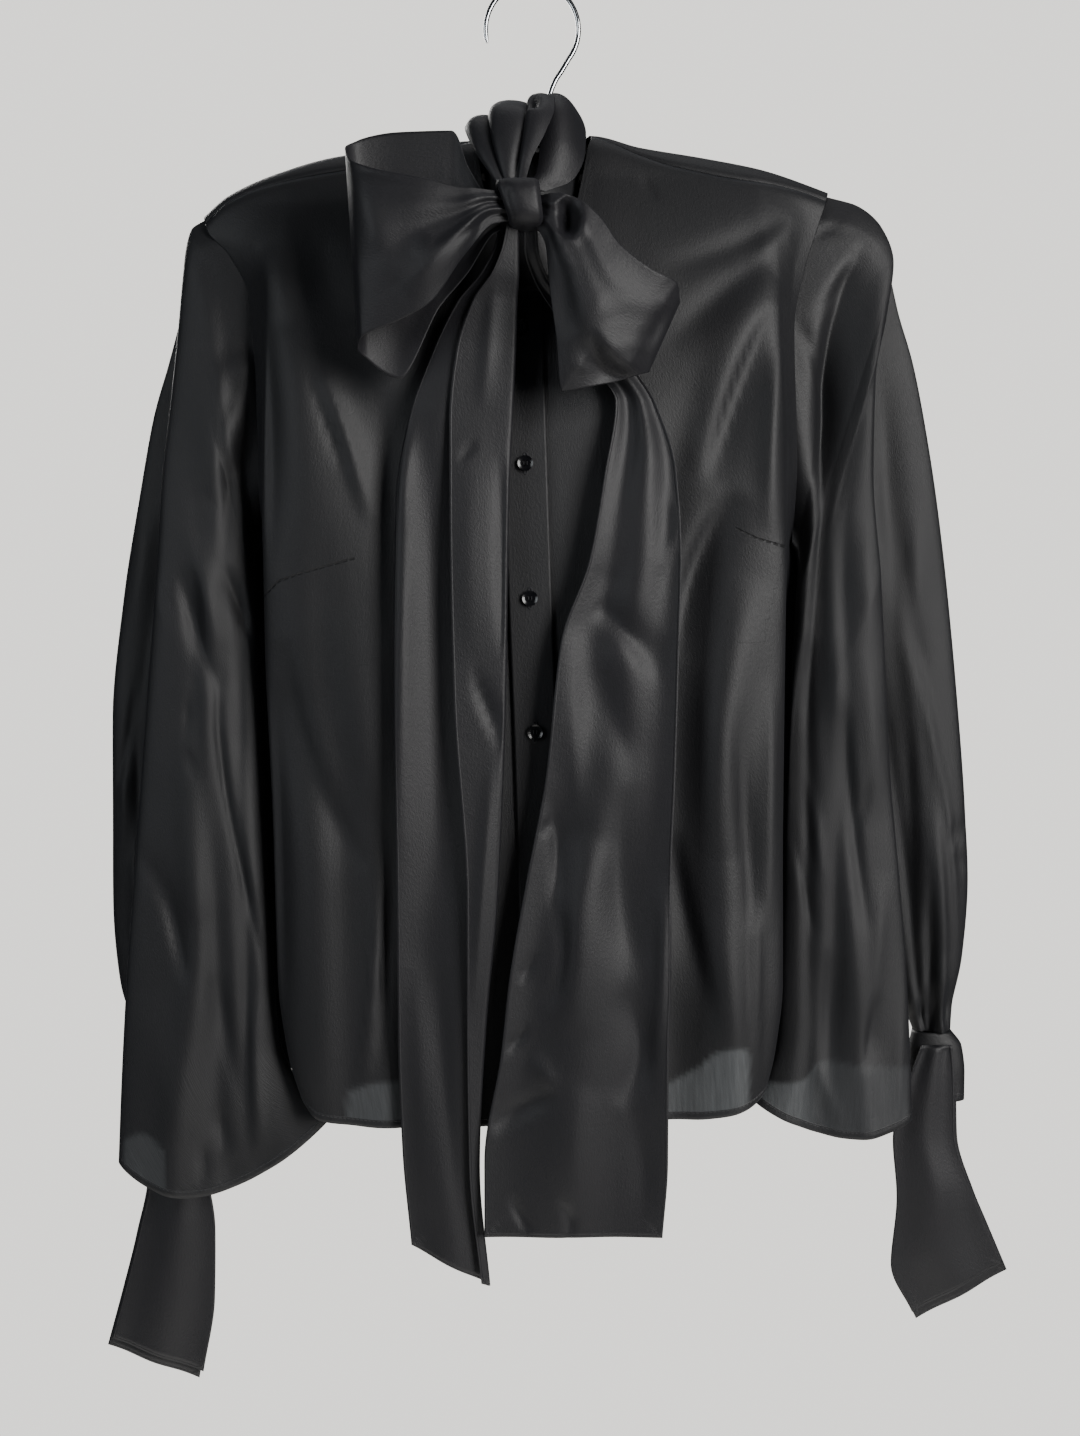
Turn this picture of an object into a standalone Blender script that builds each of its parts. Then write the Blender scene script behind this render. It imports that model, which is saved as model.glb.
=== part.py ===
"""A tie neck blouse on a hanger: cloth walls over a plain bar with a wire hook.

Lengths in the tables are millimetres; x runs to the wearer's left, y to the back, "down" is the depth
below the hook's inner apex, which is the origin. The mesh is made in metres.
"""
import math

import bmesh
import bpy
import numpy as np

MM = 0.001
CLOTH = 1.2            # thickness of one wall of cloth
FOLDED_CLOTH = 1.8     # placket, cuffs and knot, which are folded double
SEAM = 0.3             # gap between two sewn pieces
ARMHOLE_SEAM = 1.4     # the sleeve's ring from the curved armhole edge, sideways
CUFF_SEAM = 0.5          # the cuff's edge from the gathered sleeve's, which leans
SIDE_SEAM = 1.0        # each panel's edge from the side line, where the two walls meet aslant
UNDERARM = 333.0
CENTRE_CLEAR = 0.6     # each front panel's centre edge, under the button band, from the centre line
BUTTON_WIDTH = 9.0
BUTTON_HEIGHT = 2.2
BUTTON_STEP = 78.0
BUTTON_COUNT = 6
FIRST_BUTTON = 212.0
WIRE = 3.0
HOOK_RADIUS = 28.0     # to the middle of the wire
BAR_HALF_DEPTH = 6.5
BAR_HALF_HEIGHT = 10.0
BAR_ENDS = (-184.0, 170.0)
BAR_MIDDLE = -4.0
BAR_CURVE = 0.00095    # fall of the bar's arms, per mm squared
SHOULDER_ROUND = 11.0  # half depth of the cloth where it turns over the bar
PLACKET_STANDS = 2.3   # how far the button band lies in front of the panels

LEFT, RIGHT = 1, -1


def smooth(at_rows, values, at):
    """Monotone cubic through short rows of values, flat beyond the ends."""
    at_rows = np.asarray(at_rows, float)
    values = np.asarray(values, float)
    at = np.clip(np.asarray(at, float), at_rows[0], at_rows[-1])
    step = np.diff(at_rows)
    slope = np.diff(values, axis=0) / step.reshape((-1,) + (1,) * (values.ndim - 1))
    tangent = np.zeros_like(values)
    same = slope[:-1] * slope[1:] > 0
    total = np.where(same, slope[:-1] + slope[1:], 1.0)
    tangent[1:-1] = np.where(same, 2 * slope[:-1] * slope[1:] / total, 0.0)
    tangent[0], tangent[-1] = slope[0], slope[-1]
    row = np.clip(np.searchsorted(at_rows, at, side="right") - 1, 0, len(step) - 1)
    span = step[row]
    t = (at - at_rows[row]) / span
    if values.ndim > 1:
        t, span = t[..., None], span[..., None]
    rise = values[row + 1] - values[row]
    return (values[row] + t * span * tangent[row]
            + t * t * (3 * rise - span * (2 * tangent[row] + tangent[row + 1]))
            + t ** 3 * (span * (tangent[row] + tangent[row + 1]) - 2 * rise))


class Table:
    """Rows of named columns, read smoothly against the first column."""

    def __init__(self, columns, *rows):
        self.names = columns.split()
        self.rows = np.array(rows, float)

    def __call__(self, name, at):
        return smooth(self.rows[:, 0], self.rows[:, self.names.index(name)], at)

    def all(self, at):
        return smooth(self.rows[:, 0], self.rows[:, 1:], at)


# the line over the shoulders, seen from the front
RIDGE = Table(
    "x down",
    (-199, 138), (-183, 125), (-153, 112), (-116, 102), (-38, 93), (0, 91),
    (35, 90), (65, 97), (102, 103), (138, 110), (181, 124))

# half sections of the body: the centre, the front fold, its root behind, the turn and the side edge
BODY = {
    LEFT: Table(
        "down front fold fold_y root root_y turn turn_y edge edge_y back back_edge",
        (120, -40, 140, -38, 155, -34, 168, -29, 180, -22, 26, 20),
        (150, -46, 142, -43, 152, -37, 161, -28, 170, -21, 29, 19),
        (172, -49, 143, -45, 150, -37, 156, -28, 163, -21, 31, 19),
        (206, -52, 144, -47, 149, -37, 153, -28, 157, -21, 33, 19),
        (286, -55, 147, -48, 152, -36, 156, -27, 160, -20, 34, 18),
        (333, -56, 149, -47, 152, -30, 155, -14, 158, -4, 34, 4),
        (352, -56, 150, -46, 151, -22, 158, -8, 164, 0, 34, 0),
        (400, -57, 150, -44, 148, -11, 169, -5, 175, 0, 34, 0),
        (500, -57, 150, -43, 147, -10, 188, -5, 194, 0, 33, 0),
        (600, -58, 151, -43, 147, -10, 200, -5, 206, 0, 32, 0),
        (640, -58, 147, -43, 144, -10, 200, -5, 206, 0, 32, 0),
        (675, -58, 139, -42, 137, -10, 198, -5, 204, 0, 32, 0)),
    RIGHT: Table(
        "down front fold fold_y root root_y turn turn_y edge edge_y back back_edge",
        (135, -40, 150, -38, 168, -34, 184, -28, 199, -21, 26, 19),
        (150, -44, 152, -42, 166, -36, 180, -28, 194, -20, 29, 19),
        (162, -47, 153, -44, 163, -38, 173, -29, 182, -21, 30, 19),
        (190, -51, 154, -47, 159, -38, 164, -29, 169, -21, 32, 19),
        (240, -53, 155, -48, 159, -37, 163, -29, 166, -20, 33, 18),
        (300, -55, 157, -48, 160, -34, 162, -27, 165, -19, 34, 17),
        (333, -56, 158, -47, 160, -30, 162, -13, 164, -4, 34, 4),
        (352, -56, 158, -46, 158, -22, 164, -8, 170, 0, 34, 0),
        (400, -57, 158, -44, 156, -11, 176, -5, 182, 0, 34, 0),
        (500, -57, 155, -43, 152, -10, 194, -5, 200, 0, 33, 0),
        (600, -58, 153, -43, 149, -10, 206, -5, 212, 0, 32, 0),
        (640, -58, 148, -43, 145, -10, 206, -5, 212, 0, 32, 0),
        (675, -58, 138, -42, 135, -10, 204, -5, 210, 0, 32, 0))}

# where a section's named points lie across a front panel, from the centre (0) to its side edge (1)
ACROSS = (0.0, 0.20, 0.42, 0.58, 0.66, 0.74, 0.84, 0.93, 1.0)
FRONT_HEM = {
    LEFT: Table("across down", (0, 681), (0.42, 680), (0.58, 673), (0.66, 662), (0.74, 652), (1, 650)),
    RIGHT: Table("across down", (0, 681), (0.42, 684), (0.58, 680), (0.66, 665), (0.74, 655), (1, 652))}
BACK_HEM = Table("x down", (-212, 652), (-150, 664), (-60, 684), (0, 686), (60, 684), (150, 664), (206, 650))
NECKLINE = Table("x down", (4, 188), (10, 182), (18, 162), (27, 132), (34, 97))
NECK_SIDE = 34.0
SHOULDER_SEAM = Table("x drop", (34, 2), (60, 8), (90, 13), (115, 14), (170, 8), (199, 6))  # seam below the ridge, in front
CENTRE = Table("down x", (188, -7), (369, -1), (446, 2), (690, 9))        # the button line leans a little

# large soft folds: ridges in front of the plain form where the height is negative, troughs where it is not
FRONT_FOLDS = Table(
    "number top_x top bottom_x bottom width height",
    (0, -150, 180, -112, 470, 14, 4.0),
    (1, -128, 330, -122, 660, 16, -4.5),
    (2, -92, 430, -70, 684, 9, 3.5),
    (3, 128, 175, 78, 300, 15, 4.0),
    (4, 112, 250, 92, 440, 16, 3.5),
    (5, 104, 380, 124, 668, 11, -4.5),
    (6, 60, 200, 52, 420, 18, -2.5))
BACK_FOLDS = Table(
    "number top_x top bottom_x bottom width height",
    (0, -150, 200, -125, 670, 16, 4.0),
    (1, -70, 260, -84, 684, 14, -3.5),
    (2, -14, 150, -22, 684, 15, 4.5),
    (3, 42, 240, 55, 684, 14, -3.5),
    (4, 128, 190, 140, 668, 17, 4.0))


def fold_relief(folds, x, down):
    """Sum of the long soft folds at a place on a panel."""
    relief = np.zeros_like(x)
    for row in folds.rows:
        _, top_x, top, bottom_x, bottom, width, height = row
        along = np.clip((down - top) / (bottom - top), 0, 1)
        line = top_x + (bottom_x - top_x) * along
        fade = np.sin(np.clip((down - top) / (bottom - top) * 0.85, 0, 0.85) * math.pi / 1.7)
        relief += height * fade * np.exp(-((x - line) / width) ** 2)
    return relief


def over_bar(section_y, below):
    """The half depth of the cloth, which turns round over the bar and fills out below it."""
    near = np.sqrt(1 - (1 - np.clip(below / 15.0, 0, 1)) ** 2)
    far = np.sqrt(1 - (1 - np.clip(below / 170.0, 0, 1)) ** 2)
    depth = np.abs(section_y)
    rounding = np.minimum(SHOULDER_ROUND, depth)
    return np.sign(section_y) * (rounding * near + (depth - rounding) * far)


def front_point(side, across, down):
    """A place on the front: across runs from the button line to the side edge."""
    front, fold, fold_y, root, root_y, turn, turn_y, edge, edge_y = np.moveaxis(
        BODY[side].all(down)[..., :9], -1, 0)
    centre = side * CENTRE("x", down) + CENTRE_CLEAR
    reach = fold - centre
    xs = (centre, centre + 0.33 * reach, centre + 0.67 * reach, fold - 9, fold, root,
          (root + turn) / 2, turn, edge)
    ys = (front, front - 1, front, (front + fold_y) / 2 - 1, fold_y, root_y,
          (root_y + turn_y) / 2, turn_y, edge_y)
    x = np.empty_like(down)
    y = np.empty_like(down)
    for place in np.ndindex(down.shape):
        x[place] = smooth(ACROSS, [value[place] for value in xs], across[place])
        y[place] = smooth(ACROSS, [value[place] for value in ys], across[place])
    x = side * x
    calm = np.clip((0.80 - across) / 0.2, 0, 1)
    y = over_bar(y + calm * fold_relief(FRONT_FOLDS, x, down), down - RIDGE("down", x))
    return np.stack((x, y, -down), -1)


def back_point(side, across, down):
    """A place on the back, on the same columns as the front at the shoulder."""
    edge, _, back, back_edge = np.moveaxis(BODY[side].all(down)[..., 7:], -1, 0)
    top = BODY[side].rows[0, 0]
    top_x = side * front_point(side, across, np.full_like(down, top))[..., 0]
    top_edge = BODY[side].rows[0, 8]
    part = np.clip(top_x / top_edge, -1, 1)
    x = side * part * edge
    y = back_edge + (back - back_edge) * np.sqrt(np.clip(1 - part ** 4, 0, 1))
    calm = np.clip((0.97 - part) / 0.12, 0, 1)
    y = y + calm * fold_relief(BACK_FOLDS, x, down)
    return np.stack((x, over_bar(y, down - RIDGE("down", x)), -down), -1)


def material(name, colour, roughness, metallic=0.0):
    made = bpy.data.materials.new(name)
    made.use_nodes = True
    shader = made.node_tree.nodes["Principled BSDF"]
    shader.inputs["Base Color"].default_value = (*colour, 1.0)
    shader.inputs["Roughness"].default_value = roughness
    shader.inputs["Metallic"].default_value = metallic
    return made


def mesh_object(name, points, faces, look):
    mesh = bpy.data.meshes.new(name)
    mesh.from_pydata([tuple(point) for point in np.asarray(points).reshape(-1, 3) * MM], [], faces)
    made = bpy.data.objects.new(name, mesh)
    bpy.context.scene.collection.objects.link(made)
    made.data.materials.append(look)
    return made


def outward(made):
    """Turn a closed mesh's faces out."""
    work = bmesh.new()
    work.from_mesh(made.data)
    bmesh.ops.recalc_face_normals(work, faces=work.faces)
    work.to_mesh(made.data)
    work.free()
    made.data.shade_smooth()
    return made


def grid_faces(rows, columns, ring):
    faces = []
    for row in range(rows - 1):
        for column in range(columns if ring else columns - 1):
            after = (column + 1) % columns
            faces.append((row * columns + column, row * columns + after,
                          (row + 1) * columns + after, (row + 1) * columns + column))
    return faces


def cloth(name, grid, look, thickness=CLOTH, ring=False):
    """A wall of cloth through a grid of points, as thick on both sides of it."""
    rows, columns = grid.shape[:2]
    made = mesh_object(name, grid, grid_faces(rows, columns, ring), look)
    wall = made.modifiers.new("wall", "SOLIDIFY")
    wall.thickness = thickness * MM
    wall.offset = 0.0
    made.data.shade_smooth()
    return made


def rod(name, rings, look):
    """A closed bar through rings of points."""
    rows, columns = rings.shape[:2]
    faces = grid_faces(rows, columns, True)
    faces.append(tuple(reversed(range(columns))))
    faces.append(tuple((rows - 1) * columns + column for column in range(columns)))
    return outward(mesh_object(name, rings, faces, look))


# columns of the panels, and where the neck's side lies among them
FRONT_COLUMNS = (0.0, 0.05, 0.10, 0.15, 0.22, 0.30, 0.38, 0.46, 0.54, 0.60, 0.65, 0.69, 0.74, 0.82,
                 0.91, 1.0)
BACK_COLUMNS = FRONT_COLUMNS[1:]
ROW_SPREAD = (0, 0.010, 0.022, 0.040, 0.062, 0.09, 0.13, 0.18, 0.24, 0.305, 0.345, 0.39, 0.47, 0.57, 0.69, 0.80,
              0.91, 1.0)


def top_x(side, across):
    start = BODY[side].rows[0, 0]
    return front_point(side, across, np.full_like(across, start))[..., 0]


def front_top(side, across):
    """The top edge of a front panel: its neckline, then the shoulder seam."""
    x = top_x(side, across)
    seam = RIDGE("down", x) + SHOULDER_SEAM("drop", np.abs(x))
    return np.where(np.abs(x) < NECK_SIDE, NECKLINE("down", np.abs(x)), seam)


def front_grid(side, columns=FRONT_COLUMNS, rows=ROW_SPREAD):
    across, part = np.meshgrid(columns, rows)
    top = front_top(side, across[0])
    hem = FRONT_HEM[side]("down", across[0])
    return front_point(side, across, top + (hem - top) * part)


def back_grid(columns=BACK_COLUMNS, rows=ROW_SPREAD, wrap_rows=4):
    """The whole back, from its shoulder seams in front of the bar, over it and down."""
    halves = []
    for side in (RIGHT, LEFT):
        across = np.array(columns)
        x = top_x(side, across)
        ridge = RIDGE("down", x)
        neck = np.abs(x) < NECK_SIDE - 1
        start = np.where(neck, 0.3, 2 * SEAM - SHOULDER_SEAM("drop", np.abs(x)))
        turn = np.where(neck, 5.0, 0.0)
        lines = []
        for step in range(wrap_rows):
            below = start + (turn - start) * step / (wrap_rows - 1)
            over = front_point(side, across, ridge - below)
            behind = back_point(side, across, ridge + np.maximum(below, 0))
            lines.append(np.where((below < 0)[:, None], over, behind))
        below_ridge = ridge + turn
        for part in rows[2:]:
            hem = BACK_HEM("down", x * BODY[side].rows[-1, 8] / BODY[side].rows[0, 8])
            lines.append(back_point(side, across, below_ridge + (hem - below_ridge) * part))
        half = np.stack(lines)
        halves.append(half[:, ::-1] if side == RIGHT else half)
    return np.concatenate(halves, axis=1)


def trim(grid, edges):
    """Pull a panel's side edges in, to leave the seam: more below the underarm, where two walls meet aslant."""
    grid = grid.copy()
    for edge, inner in edges:
        pull = grid[:, inner] - grid[:, edge]
        length = np.linalg.norm(pull, axis=1, keepdims=True)
        distance = np.where(-grid[:, edge, 2] > UNDERARM - 12, SIDE_SEAM, SEAM / 2)[:, None]
        grid[:, edge] += pull / length * distance
    return grid


# sleeves: the outer line from the shoulder point to the hem and the inner line from the underarm
OVERSLEEVE = {
    LEFT: Table(
        "ring outer outer_down inner inner_down middle half bow_front bow_back",
        (0, 180, 126, 160.5, 335, -11.5, 8.5, 0, 0),
        (1, 197, 132, 161, 342, -14, 9.5, -4, -4),
        (2, 211, 145, 161.5, 352, -17, 11, -2, -2),
        (3, 218, 166, 160.5, 366, -19, 12, 0, 0),
        (4, 214, 196, 159.5, 386, -20, 12, 0, 0),
        (5, 207, 236, 158, 412, -21, 11.5, 0, 0),
        (6, 206, 294, 157, 445, -22, 11, 0, 0),
        (7, 210, 350, 156, 482, -23, 11, 0, 0),
        (8, 214, 412, 155, 520, -23, 10, 0, 0),
        (9, 218, 476, 154, 560, -23, 10, 2, 0),
        (10, 224, 536, 153, 598, -24, 10, 4, 0),
        (11, 229, 590, 152, 630, -25, 10, 7, 0),
        (12, 232, 642, 147, 657, -26, 11, 12, -2),
        (13, 234, 688, 137, 677, -27, 12, 14, -8)),
    RIGHT: Table(
        "ring outer outer_down inner inner_down middle half bow_front bow_back",
        (0, 199, 139, 166.5, 335, -11.5, 8.5, 0, 0),
        (1, 206, 146, 167, 342, -14, 9.5, -4, -4),
        (2, 209, 158, 168, 352, -17, 11, -2, -2),
        (3, 211, 178, 167, 367, -19, 11, 0, 0),
        (4, 214, 212, 166, 388, -21, 11, 0, 0),
        (5, 218, 250, 165, 416, -22, 11, 0, 0),
        (6, 223, 296, 164, 449, -23, 11.5, 0, 0),
        (7, 227, 362, 163, 490, -24, 12, 0, 0),
        (8, 233, 429, 161, 530, -25, 12, 4, 0),
        (9, 238, 487, 159, 570, -26, 12, 8, 2),
        (10, 243, 543, 158, 605, -27, 12, 14, 6),
        (11, 248, 602, 156, 634, -28, 12, 20, 10),
        (12, 252, 660, 147, 660, -28, 13, 27, 14),
        (13, 255, 714, 125, 688, -28, 13, 31, 16))}
UNDERSLEEVE = {
    LEFT: Table(
        "ring outer outer_down inner inner_down middle half bow_front bow_back",
        (0, 179, 128, 161, 335, 9.5, 8.5, 0, 0),
        (1, 193, 134, 167, 345, 9, 9.5, -4, -4),
        (2, 206, 146, 176, 360, 8, 10, -2, -2),
        (3, 216, 166, 185, 384, 7, 10, 0, 0),
        (4, 224, 196, 190, 412, 6, 10, 0, 0),
        (5, 233, 224, 199, 440, 6, 10, 0, 0),
        (6, 244, 275, 207, 470, 6, 10, 0, 0),
        (7, 254, 335, 213, 500, 6, 11, 0, 0),
        (8, 264, 420, 219, 535, 6, 12, 0, 0),
        (9, 271, 496, 224, 570, 6, 13, 0, 0),
        (10, 274, 548, 229, 600, 6, 13, 2, 2),
        (11, 271, 592, 233, 620, 5, 13, 2, 2),
        (12, 265, 624, 238, 632, 4, 10, 0, 0),
        (13, 264, 640, 241, 640, 3, 8.5, 0, 0)),
    RIGHT: Table(
        "ring outer outer_down inner inner_down middle half bow_front bow_back",
        (0, 198, 141, 167.5, 335, 9.5, 8.5, 0, 0),
        (1, 203, 150, 174, 347, 9, 9.5, -4, -4),
        (2, 207, 165, 183, 364, 8, 10, -2, -2),
        (3, 212, 188, 191, 388, 7, 10, 0, 0),
        (4, 222, 224, 198, 416, 6, 10, 0, 0),
        (5, 232, 256, 204, 444, 6, 10, 0, 0),
        (6, 243, 310, 212, 474, 6, 10, 0, 0),
        (7, 254, 370, 218, 505, 6, 11, 0, 0),
        (8, 262, 440, 221, 540, 6, 12, 0, 0),
        (9, 263, 500, 222, 576, 6, 13, 0, 0),
        (10, 264, 560, 222, 608, 6, 13, 2, 2),
        (11, 260, 610, 221, 632, 5, 13, 2, 2),
        (12, 251, 640, 220, 646, 6, 10, 0, 0),
        (13, 248, 654, 219, 654, 6, 8.5, 0, 0))}
# folds that run down the front of a sleeve: where they lie between the outer (0) and inner (1) line
SLEEVE_FOLDS = Table(
    "number start end first last width height",
    (0, 0.62, 0.30, 3, 13, 0.10, 4.0),
    (1, 0.86, 0.74, 2, 11, 0.07, -3.5),
    (2, 0.34, 0.62, 5, 13, 0.09, -3.5))
SLEEVE_RINGS = 13
RING_POINTS = 20
TIE_ROWS = 9


def armhole(side, part, front):
    """A place on a panel's armhole edge, from the shoulder (0) to the underarm (1)."""
    start, end = {LEFT: (133.0, UNDERARM), RIGHT: (145.0, UNDERARM)}[side]
    down = start + (end - start) * part
    across = np.ones_like(down)
    return (front_point if front else back_point)(side, across, down)


def sleeve_grid(side, rows, rings=None, points=RING_POINTS, sewn_front=True):
    """A sleeve as rings that turn from the armhole to the hem, pressed flat between two lines."""
    rings = np.arange(SLEEVE_RINGS + 1.0) if rings is None else rings
    turn = np.arange(points) / points * 2 * math.pi
    table = rows[side].all(rings)
    outer, outer_down, inner, inner_down, middle, half, bow_front, bow_back = table.T[:, :, None]
    part = (1 - np.cos(turn)) / 2
    lift = np.sin(turn)
    front = lift > 0
    bow = np.where(front, bow_front, bow_back) * lift ** 2
    length = np.hypot(outer - inner, outer_down - inner_down)
    away_x, away_down = -(inner_down - outer_down) / length, (inner - outer) / length * -1
    x = outer + (inner - outer) * part + bow * away_x
    down = outer_down + (inner_down - outer_down) * part + bow * np.abs(away_down)
    y = middle - half * np.sign(lift) * np.abs(lift) ** 0.8
    for row in SLEEVE_FOLDS.rows:
        _, start, end, first, last, width, height = row
        along = np.clip((rings[:, None] - first) / (last - first), 0, 1)
        line = start + (end - start) * along
        fade = np.sin(np.clip(along, 0.0, 0.8) * math.pi / 1.6)
        y -= np.where(front, height, 0) * fade * np.exp(-((part - line) / width) ** 2) * lift ** 2
    grid = np.stack((side * x, y, -down), -1)
    sewn = (lift > 0.2) if sewn_front else (lift < -0.2)
    target = armhole(side, part, sewn_front)
    target[:, 0] += side * ARMHOLE_SEAM
    first = grid[0].copy()
    weight = np.clip(1 - rings / 3.0, 0, 1)[:, None] * np.clip((np.abs(lift) - 0.2) / 0.25, 0, 1) * sewn
    return grid + weight[..., None] * (target - first)


CUFF = {
    LEFT: Table("down inner outer middle half", (640, 241, 264, 3, 8.5), (650, 239, 271, 2, 9),
                (668, 238, 273, 1, 9), (684, 238, 273, 1, 9)),
    RIGHT: Table("down inner outer middle half", (654, 219, 248, 6, 8.5), (664, 214, 250, 6, 9),
                 (682, 212, 250, 5, 9), (698, 212, 250, 5, 9))}
CUFF_TIES = {
    LEFT: Table("row inner inner_down outer outer_down y belly",
                (0, 243, 647, 262, 647, -11.4, 0.5), (1, 233, 676, 264, 668, -12, 1), (2, 226, 706, 265, 702, -12, 2),
                (3, 229, 745, 275, 735, -12, 4), (4, 226, 786, 284, 756, -12, 3), (5, 240, 818, 297, 786, -12, 1)),
    RIGHT: Table("row inner inner_down outer outer_down y belly",
                 (0, 220, 661, 240, 661, -7.6, 0.5), (1, 212, 690, 241, 690, -8.5, 1), (2, 206, 725, 241, 728, -9, 2),
                 (3, 200, 765, 248, 765, -10, 4), (4, 201, 810, 257, 800, -10, 3), (5, 209, 858, 267, 836, -10, 1))}
# the other end of the tie lies behind, a little aside and longer: first at its top, then at its end
SECOND_TIE_ASIDE = (1.0, 3.5)
SECOND_TIE_BEHIND = (1.9, 4.0)
SECOND_TIE_LONGER = 6.0


def cuff_grid(side, points=16, rows=5):
    table = CUFF[side]
    down = np.linspace(table.rows[0, 0] + CUFF_SEAM, table.rows[-1, 0], rows)[:, None]
    turn = np.arange(points) / points * 2 * math.pi
    inner, outer, middle, half = [table(name, down) for name in table.names[1:]]
    x = (inner + outer) / 2 + (outer - inner) / 2 * np.cos(turn)
    y = middle - half * np.sign(np.sin(turn)) * np.abs(np.sin(turn)) ** 0.8
    return np.stack((side * x, y, -down + 0 * turn), -1)


def second_tie(tie, side):
    """The tie end behind the first one, which it follows."""
    part = np.linspace(0, 1, len(tie))[:, None, None]
    start = np.array((side * SECOND_TIE_ASIDE[0], SECOND_TIE_BEHIND[0], 0.0))
    end = np.array((side * SECOND_TIE_ASIDE[1], SECOND_TIE_BEHIND[1], -SECOND_TIE_LONGER))
    return tie + start + (end - start) * part


def strip_grid(table, side, rows, columns, curl=0.0):
    """A strip of cloth through rows that each run from an inner to an outer point."""
    at = np.linspace(0, table.rows[-1, 0], rows)[:, None]
    part = np.linspace(0, 1, columns)
    inner, inner_down, outer, outer_down, y, belly = [table(name, at) for name in table.names[1:]]
    x = inner + (outer - inner) * part
    down = inner_down + (outer_down - inner_down) * part
    depth = y - belly * np.sin(part * math.pi) + curl * np.sin(part * 3 * math.pi) * (at > 0)
    return np.stack((side * x, depth, -down), -1)


# the bow: each row runs across the ribbon, from its upper to its lower edge
LOOP_RIGHT = Table(
    "row upper_x upper_down upper_y lower_x lower_down lower_y belly pleat",
    (0, -14, 146, -84, -13, 160, -84, 0, 1.5), (1, -22, 146, -83, -21, 166.2, -84, 2, 2.2),
    (2, -35, 128, -78, -36, 186, -78, 3, 2.4), (3, -45, 107, -76, -52, 205, -74, 3, 2.0),
    (4, -76, 108, -76, -76, 226, -74, 4, 1.4), (5, -97, 113, -78, -92, 236, -78, 3, 0.5),
    (6, -103, 119, -86, -97, 233, -86, 0, 0), (7, -99, 128, -96, -95, 232, -95, -2, 0.5),
    (8, -88, 134, -103, -76, 245, -99, -5, 1.6), (9, -60, 140, -106, -57, 212, -103, -6, 2.6),
    (10, -36, 145, -104, -37, 182, -102, -4, 3.0), (11, -22, 145, -96, -21, 163, -95, -2, 2.0),
    (12, -14, 146, -93, -13, 160, -93, 0, 1.5))
LOOP_LEFT = Table(
    "row upper_x upper_down upper_y lower_x lower_down lower_y belly pleat",
    (0, 2, 146, -83, 2, 160, -83, 0, 1.2), (1, 9, 148, -82, 9, 163.6, -82, 1, 1.4),
    (2, 26, 152, -79, 14, 190, -78, 1, 1.6), (3, 38, 168, -77, 16, 216, -76, 1, 1.4),
    (4, 57, 182, -76, 17, 248, -75, 2, 1.2), (5, 74, 192, -76, 42, 244, -75, 2, 0.4),
    (6, 84, 203, -82, 66, 243, -81, 0, 0), (7, 81, 194, -90, 50, 245, -88, -3, 0.6),
    (8, 70, 186, -96, 14, 251, -90, -6, 1.4), (9, 44, 168, -99, 12, 214, -95, -7, 2.2),
    (10, 26, 148, -97, 11, 186, -95, -5, 2.4), (11, 10, 145, -93, 10, 163, -92, -2, 1.4),
    (12, 2, 146, -91, 2, 160, -91, 0, 1.0))
LOOP_PLEATS = 2.5


def loop_grid(table, rows=21, columns=10):
    at = np.linspace(0, table.rows[-1, 0], rows)[:, None]
    part = np.linspace(0, 1, columns)
    ux, ud, uy, lx, ld, ly, belly, pleat = [table(name, at) for name in table.names[1:]]
    wave = pleat * np.sin(part * 2 * math.pi * LOOP_PLEATS + at * 0.15)
    x = ux + (lx - ux) * part
    down = ud + (ld - ud) * part
    y = uy + (ly - uy) * part + belly * np.sin(part * math.pi) + wave * np.sin(part * math.pi)
    return np.stack((x, y, -down), -1)


TAIL_RIGHT = Table(
    "down outer fold free y",
    (174.3, -17, -7, -13, -86), (186, -29, -7, -22, -82), (200, -42, -8, -33, -76), (228, -57, -9, -43, -70),
    (267, -71, -11, -47, -69), (312, -78, -13, -47, -69), (426, -80, -15, -45, -69), (543, -79, -20, -38, -69),
    (620, -79, -27, -38, -68), (700, -77, -31, -37, -68), (765, -72, -25, -30, -68))
TAIL_RIGHT_CUT = 24.0        # the end is cut aslant
TAIL_LEFT = Table(
    "down inner outer y ripple",
    (174.3, -4, 3, -85, 0), (188, 1, 10, -73, 0.4), (205, 12, 34, -66, 1.0), (232, 30, 55, -64, 1.4),
    (256, 48, 71, -65, 1.8), (295, 42, 83, -69, 2.6), (346, 33, 86, -72, 2.6), (392, 17, 85, -73, 2.2),
    (472, 8, 83, -74, 2.2), (531, -3, 81, -74, 2.5), (589, -13, 81, -75, 2.5), (634, -18, 80, -75, 2.2),
    (699, -28, 80, -75, 1.6), (744, -28, 77, -75, 0.8))


def along_rows(table, rows):
    """Depths spread as the table's own rows are."""
    depths = table.rows[:, 0]
    return np.interp(np.linspace(0, len(depths) - 1, rows), np.arange(len(depths)), depths)[:, None]


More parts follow.
